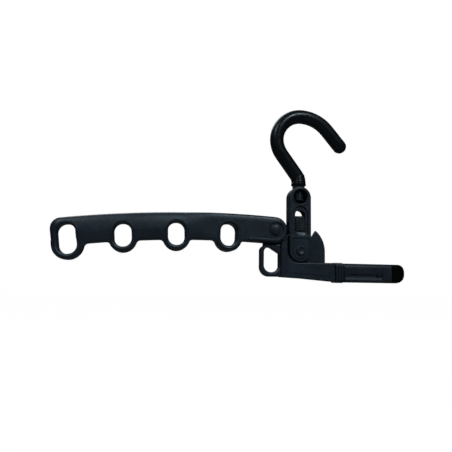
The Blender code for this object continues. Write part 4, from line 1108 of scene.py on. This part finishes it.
NUT_FLANGE = [(NUT_R, 0.0), (0.005, 0.0), (0.0052, 0.0002)]
NUT_FOOT = [(0.0052, -0.0003), (0.0049, 0.0), (0.0, 0.0)]
NUT_FLUTES = 8
NUT_FLUTE_R = 0.0008
NUT_FLUTE_STEPS = 20
NUT_FLUTE_FOOT = 0.0006


def pivot_pieces(name, at, body, face):
    """Round head at the front with the given face, and the domed cap pushed on at the rear."""
    low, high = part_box(name + "_pin")
    cap_low, cap_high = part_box(name + "_cap")
    centre = (at[0], 0.0, at[1])
    pin = below(-low.y, face + HEAD_SIDE) + below(-high.y, PIN_END)
    cap = below(-cap_low.y, CAP_BORE) + below(-cap_high.y, CAP_END)
    for label, node, profile in (("_head", "_pin", pin), ("_button", "_cap", cap)):
        solid = turned(name + label, profile, centre, along_y=True)
        dress(solid, body, name + node, sharp=ROUND_SHARP)


def screw_pieces():
    """Pan-head screws with a cross recess, sunk in the rear shell."""
    for name, x, z, front, back in screw_places():
        profile = below(-front, SCREW_TIP) + below(-back, SCREW_HEAD)
        screw = turned(name + "_body", profile, (x, 0.0, z), along_y=True, steps=SCREW_STEPS)
        for wide, tall in ((CROSS_LONG, CROSS_WIDE), (CROSS_WIDE, CROSS_LONG)):
            cross = box_outline(x - wide, x + wide, z - tall, z + tall)
            cut(screw, plate("cross", [cross], back - CROSS_D, back + OVERLAP))
        dress(screw, "arm", name, slot="dark_steel")


def barrel_piece():
    """Barrel nut in the ring: a fluted sleeve over a flange."""
    low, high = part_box("swivel_barrel")
    flange = low.z + NUT_FLANGE_T
    profile = below(flange, NUT_FLOOR) + below(high.z, NUT_TOP) + below(flange, NUT_FLANGE)
    nut = turned("swivel_nut", profile + below(low.z, NUT_FOOT), ON_AXIS)
    flutes = []
    for i in range(NUT_FLUTES):
        x, y = polar((AXIS_X, 0.0), NUT_R, 2 * math.pi * (i + 0.5) / NUT_FLUTES - QUARTER)
        run = (flange + NUT_FLUTE_FOOT, high.z + OVERLAP)
        flutes.append(rod("flute", NUT_FLUTE_R, *run, (x, y, 0.0), NUT_FLUTE_STEPS))
    cut(nut, *flutes)
    dress(nut, "hook", "swivel_barrel", sharp=ROUND_SHARP)


# Brace

SLEEVE_CORNER = 0.0042
SLEEVE_HALF = ((SLEEVE_HIGH - SLEEVE_LOW) / 2)[1:]
COLLAR_HALF = ((COLLAR_HIGH - COLLAR_LOW) / 2)[1:]
BORE_HALF = (SPAR_HALF[0] + GAP, SPAR_HALF[1] + GAP)
PLUG_HALF = (SPAR_HALF[0] - GAP, SPAR_HALF[1] - GAP)
SLEEVE_LIP = ((0.0, 0.0007), (0.0002, 0.0003), (0.0007, 0.0))  # (along the brace, off its sides)
STOP_X = 0.08
TRAVEL = 0.03
SLOT_REACH = 0.0016
SLOT_DROP = 0.0026
FLUTE_D = 0.0019  # channel that the stop's slot runs in
FLUTE_ABOVE = 0.0052  # run of its long upper slope, which lies in shade
FLUTE_BELOW = 0.003  # and of its lower slope, which catches the light
FLUTE_START = 0.001
FLUTE_END = 0.0046  # how far the channel runs on past the stop
COLLAR_RIBS = 3
COLLAR_RIB_H = 0.0011
COLLAR_RIB_POWER = 0.6  # makes the ribs broad and the valleys narrow
COLLAR_STEPS = 60
TIP_LOW_RUN = 0.0125  # the tip's long rounding below
TIP_LOW_RISE = 0.0088
TIP_TOP_RUN = 0.009  # and its shorter one above
TIP_TOP_DROP = 0.007
TIP_LAST_TURN = math.radians(75)
TIP_STEPS = 18
TIP_LIP = ((0.0, 0.0006), (0.0002, 0.0002), (0.0007, 0.0))
PLUG_CHAMFER = 0.0004
PLUG_CHAMFER_RUN = 0.0006
PLUG_END_CORNER = 0.002


def spar_bore(low, high):
    return skin("bore", [section(x, BORE_HALF) for x in (low - OVERLAP, high + OVERLAP)])


def sleeve_piece():
    """Sliding sleeve with a bore for the spar and the stop's slot in a shallow channel."""
    low, high = SLEEVE_LOW.x, SLEEVE_HIGH.x
    ends = [(low + dx, less) for dx, less in SLEEVE_LIP]
    ends += [(high - dx, less) for dx, less in reversed(SLEEVE_LIP)]
    rings = [section(x, SLEEVE_HALF, less, SLEEVE_CORNER - less) for x, less in ends]
    solid = skin("brace_sleeve_body", rings)
    upper = BRACE_Z - SLOT_DROP
    lower = upper - SLOT_REACH
    run = (STOP_X - TRAVEL - SLOT_REACH, STOP_X + SLOT_REACH)
    slot = box_outline(*run, lower, upper + SLOT_REACH, SLOT_REACH * NEARLY)
    cutters = [spar_bore(low, high), plate("slot", [slot], -FAR, -SPAR_HALF[0] + OVERLAP)]
    past = 1 + OVERLAP / FLUTE_D
    for out in (-1, 1):
        floor = out * (SLEEVE_HALF[0] - FLUTE_D)
        proud = out * (SLEEVE_HALF[0] + OVERLAP)
        sides = [(floor, upper), (proud, upper + FLUTE_ABOVE * past), (proud, lower - FLUTE_BELOW * past),
                 (floor, lower)]
        cutters.append(prism("flute", sides, low + FLUTE_START, STOP_X + FLUTE_END))
    cut(solid, *cutters)
    dress(solid, "brace", "brace_sleeve")


def collar_piece():
    """Collar with round ribs, fixed on the spar's root."""
    low, high = COLLAR_LOW.x, COLLAR_HIGH.x
    rings = []
    for i in range(COLLAR_STEPS + 1):
        share = i / COLLAR_STEPS
        wave = 0.5 - 0.5 * math.cos(2 * math.pi * COLLAR_RIBS * share)
        less = COLLAR_RIB_H * (1 - wave ** COLLAR_RIB_POWER)
        rings.append(section(low + (high - low) * share, COLLAR_HALF, less, SLEEVE_CORNER - less / 2))
    solid = skin("brace_collar_ring", rings)
    cut(solid, spar_bore(low, high))
    dress(solid, "bracket", "brace_collar", sharp=RIBBED_SHARP)


def tip_piece():
    """Rubber tip: a plug in the sleeve, a fine lip and a rounded end with a small flat face."""
    start = SLEEVE_HIGH.x + GAP
    rings = [section(TIP_LOW.x, PLUG_HALF, PLUG_CHAMFER, PLUG_END_CORNER),
             section(TIP_LOW.x + PLUG_CHAMFER_RUN, PLUG_HALF), section(start, PLUG_HALF)]
    rings += [section(start + dx, SLEEVE_HALF, less, SLEEVE_CORNER) for dx, less in TIP_LIP]
    end_x = TIP_HIGH.x + TIP_LOW_RUN * (1 - math.sin(TIP_LAST_TURN))
    for i in range(TIP_STEPS + 1):
        turn = TIP_LAST_TURN * i / TIP_STEPS
        left = TIP_LOW_RUN * (1 - math.sin(turn))
        rise = TIP_LOW_RISE * (1 - math.cos(turn))
        fall = TIP_TOP_DROP * (1 - math.sqrt(1 - unit(1 - left / TIP_TOP_RUN) ** 2))
        less = (rise + fall) / 2
        corner = min(SLEEVE_CORNER, (SLEEVE_HALF[0] - less) * HOLE_ROUND)
        rings.append(section(end_x - left, SLEEVE_HALF, less, corner, (rise - fall) / 2))
    tip = skin("brace_rubber_tip", rings)
    dress(tip, "brace", "brace_tip", slot="black_rubber", sharp=ROUND_SHARP)


# Stage: floor, lights and camera

FLOOR_DROP = 0.24  # clear of the arm when the link is folded
FLOOR_REACH = 6.0
FLOOR_GLOW = 1.15
FLOOR_GLOW_SHARE = 0.86
WHITE = 0.92
FLOOR_BOUNCE = 0.25  # little light comes from below in the photograph
AMBIENT_COLOUR = (0.74, 0.9, 1.0, 1.0)
AMBIENT = 0.03

# Lamps as (name, place from the hanger's middle, size, power)
LAMPS = (("key", (0.3, -0.9, 0.8), 0.24, 5.3),
         ("top", (-0.5, -0.4, 0.6), 0.3, 1.4),
         ("rear", (-0.2, 0.8, 0.9), 0.8, 4.6))


def floor():
    """Pale floor that looks white to the camera and still takes the hanger's shadow."""
    mesh = bpy.data.meshes.new("floor")
    z = CAD_BOX[0].z - FLOOR_DROP
    reach = FLOOR_REACH
    corners = [(-reach, -reach, z), (reach, -reach, z), (reach, reach, z), (-reach, reach, z)]
    mesh.from_pydata(corners, [], [(0, 1, 2, 3)])
    made, look, shader = new_material("pale_floor")
    glow = look.add("ShaderNodeEmission", {"Strength": FLOOR_GLOW})
    seen = look.add("ShaderNodeLightPath", {}).outputs["Is Camera Ray"]
    share = look.add("ShaderNodeMath", {0: seen, 1: FLOOR_GLOW_SHARE}, operation="MULTIPLY")
    mixed = look.mix(share.outputs[0], shader, glow)
    look.put(shader, {"Roughness": 0.9, "Base Color": look.spread(seen, FLOOR_BOUNCE, WHITE)})
    look.put(look.tree.nodes["Material Output"], {"Surface": mixed})
    mesh.materials.append(made)
    add_object("floor", mesh)


def surroundings():
    world = bpy.data.worlds.new("studio")
    SCENE.world = world
    world.use_nodes = True
    world.node_tree.nodes.clear()
    look = Nodes(world.node_tree)
    seen = look.add("ShaderNodeBackground", {"Color": (1.0, 1.0, 1.0, 1.0), "Strength": 1.0})
    lit = look.add("ShaderNodeBackground", {"Color": AMBIENT_COLOUR, "Strength": AMBIENT})
    rays = look.add("ShaderNodeLightPath", {})
    look.add("ShaderNodeOutputWorld", {"Surface": look.mix(rays.outputs["Is Camera Ray"], lit, seen)})


def lamp(name, at, size, power):
    light = adjust(bpy.data.lights.new(name, "AREA"), shape="DISK", size=size, energy=power)
    thing = add_object(name, light)
    thing.location = (CAD_BOX[0] + CAD_BOX[1]) / 2 + Vector(at)
    thing.rotation_euler = (-Vector(at)).to_track_quat("-Z", "Y").to_euler()


def camera():
    seen = adjust(bpy.data.cameras.new("camera"), clip_start=0.01, clip_end=50.0)
    seen.lens = FOCAL_PIXELS / PHOTO_SIDE * seen.sensor_width
    thing = add_object("camera", seen)
    forward = Vector(CAMERA_FORWARD).normalized()
    right = Vector(CAMERA_RIGHT)
    right = (right - forward * right.dot(forward)).normalized()
    place = Matrix((right, right.cross(forward), -forward)).transposed().to_4x4()
    place.translation = CAMERA_AT
    thing.matrix_world = place
    SCENE.camera = thing


def carried_over():
    """The washers and the two hidden pins keep their CAD shape and get a better finish. The stop pin's
    near-black steel is painted shade for the dark slot that it shows through.
    """
    for name, node in frame["nodes"].items():
        if "washer" in name or name in ("swivel_pin", "brace_stop_pin"):
            for place in node.material_slots:
                place.material = SLOT_SHADE_STEEL if name == "brace_stop_pin" else FINISHES["dark_steel"]


def main():
    SCENE.view_settings.view_transform = "Standard"
    floor()
    surroundings()
    for settings in LAMPS:
        lamp(*settings)
    camera()
    hook_piece()
    link_piece()
    lock_piece()
    bracket_piece()
    arm_shell("front")
    arm_shell("rear")
    pivot_pieces("link_pivot", LINK_PIVOT, "link", DISHED)
    pivot_pieces("arm_pivot", ARM_PIVOT, "bracket", DOMED)
    screw_pieces()
    barrel_piece()
    sleeve_piece()
    collar_piece()
    tip_piece()
    carried_over()


main()
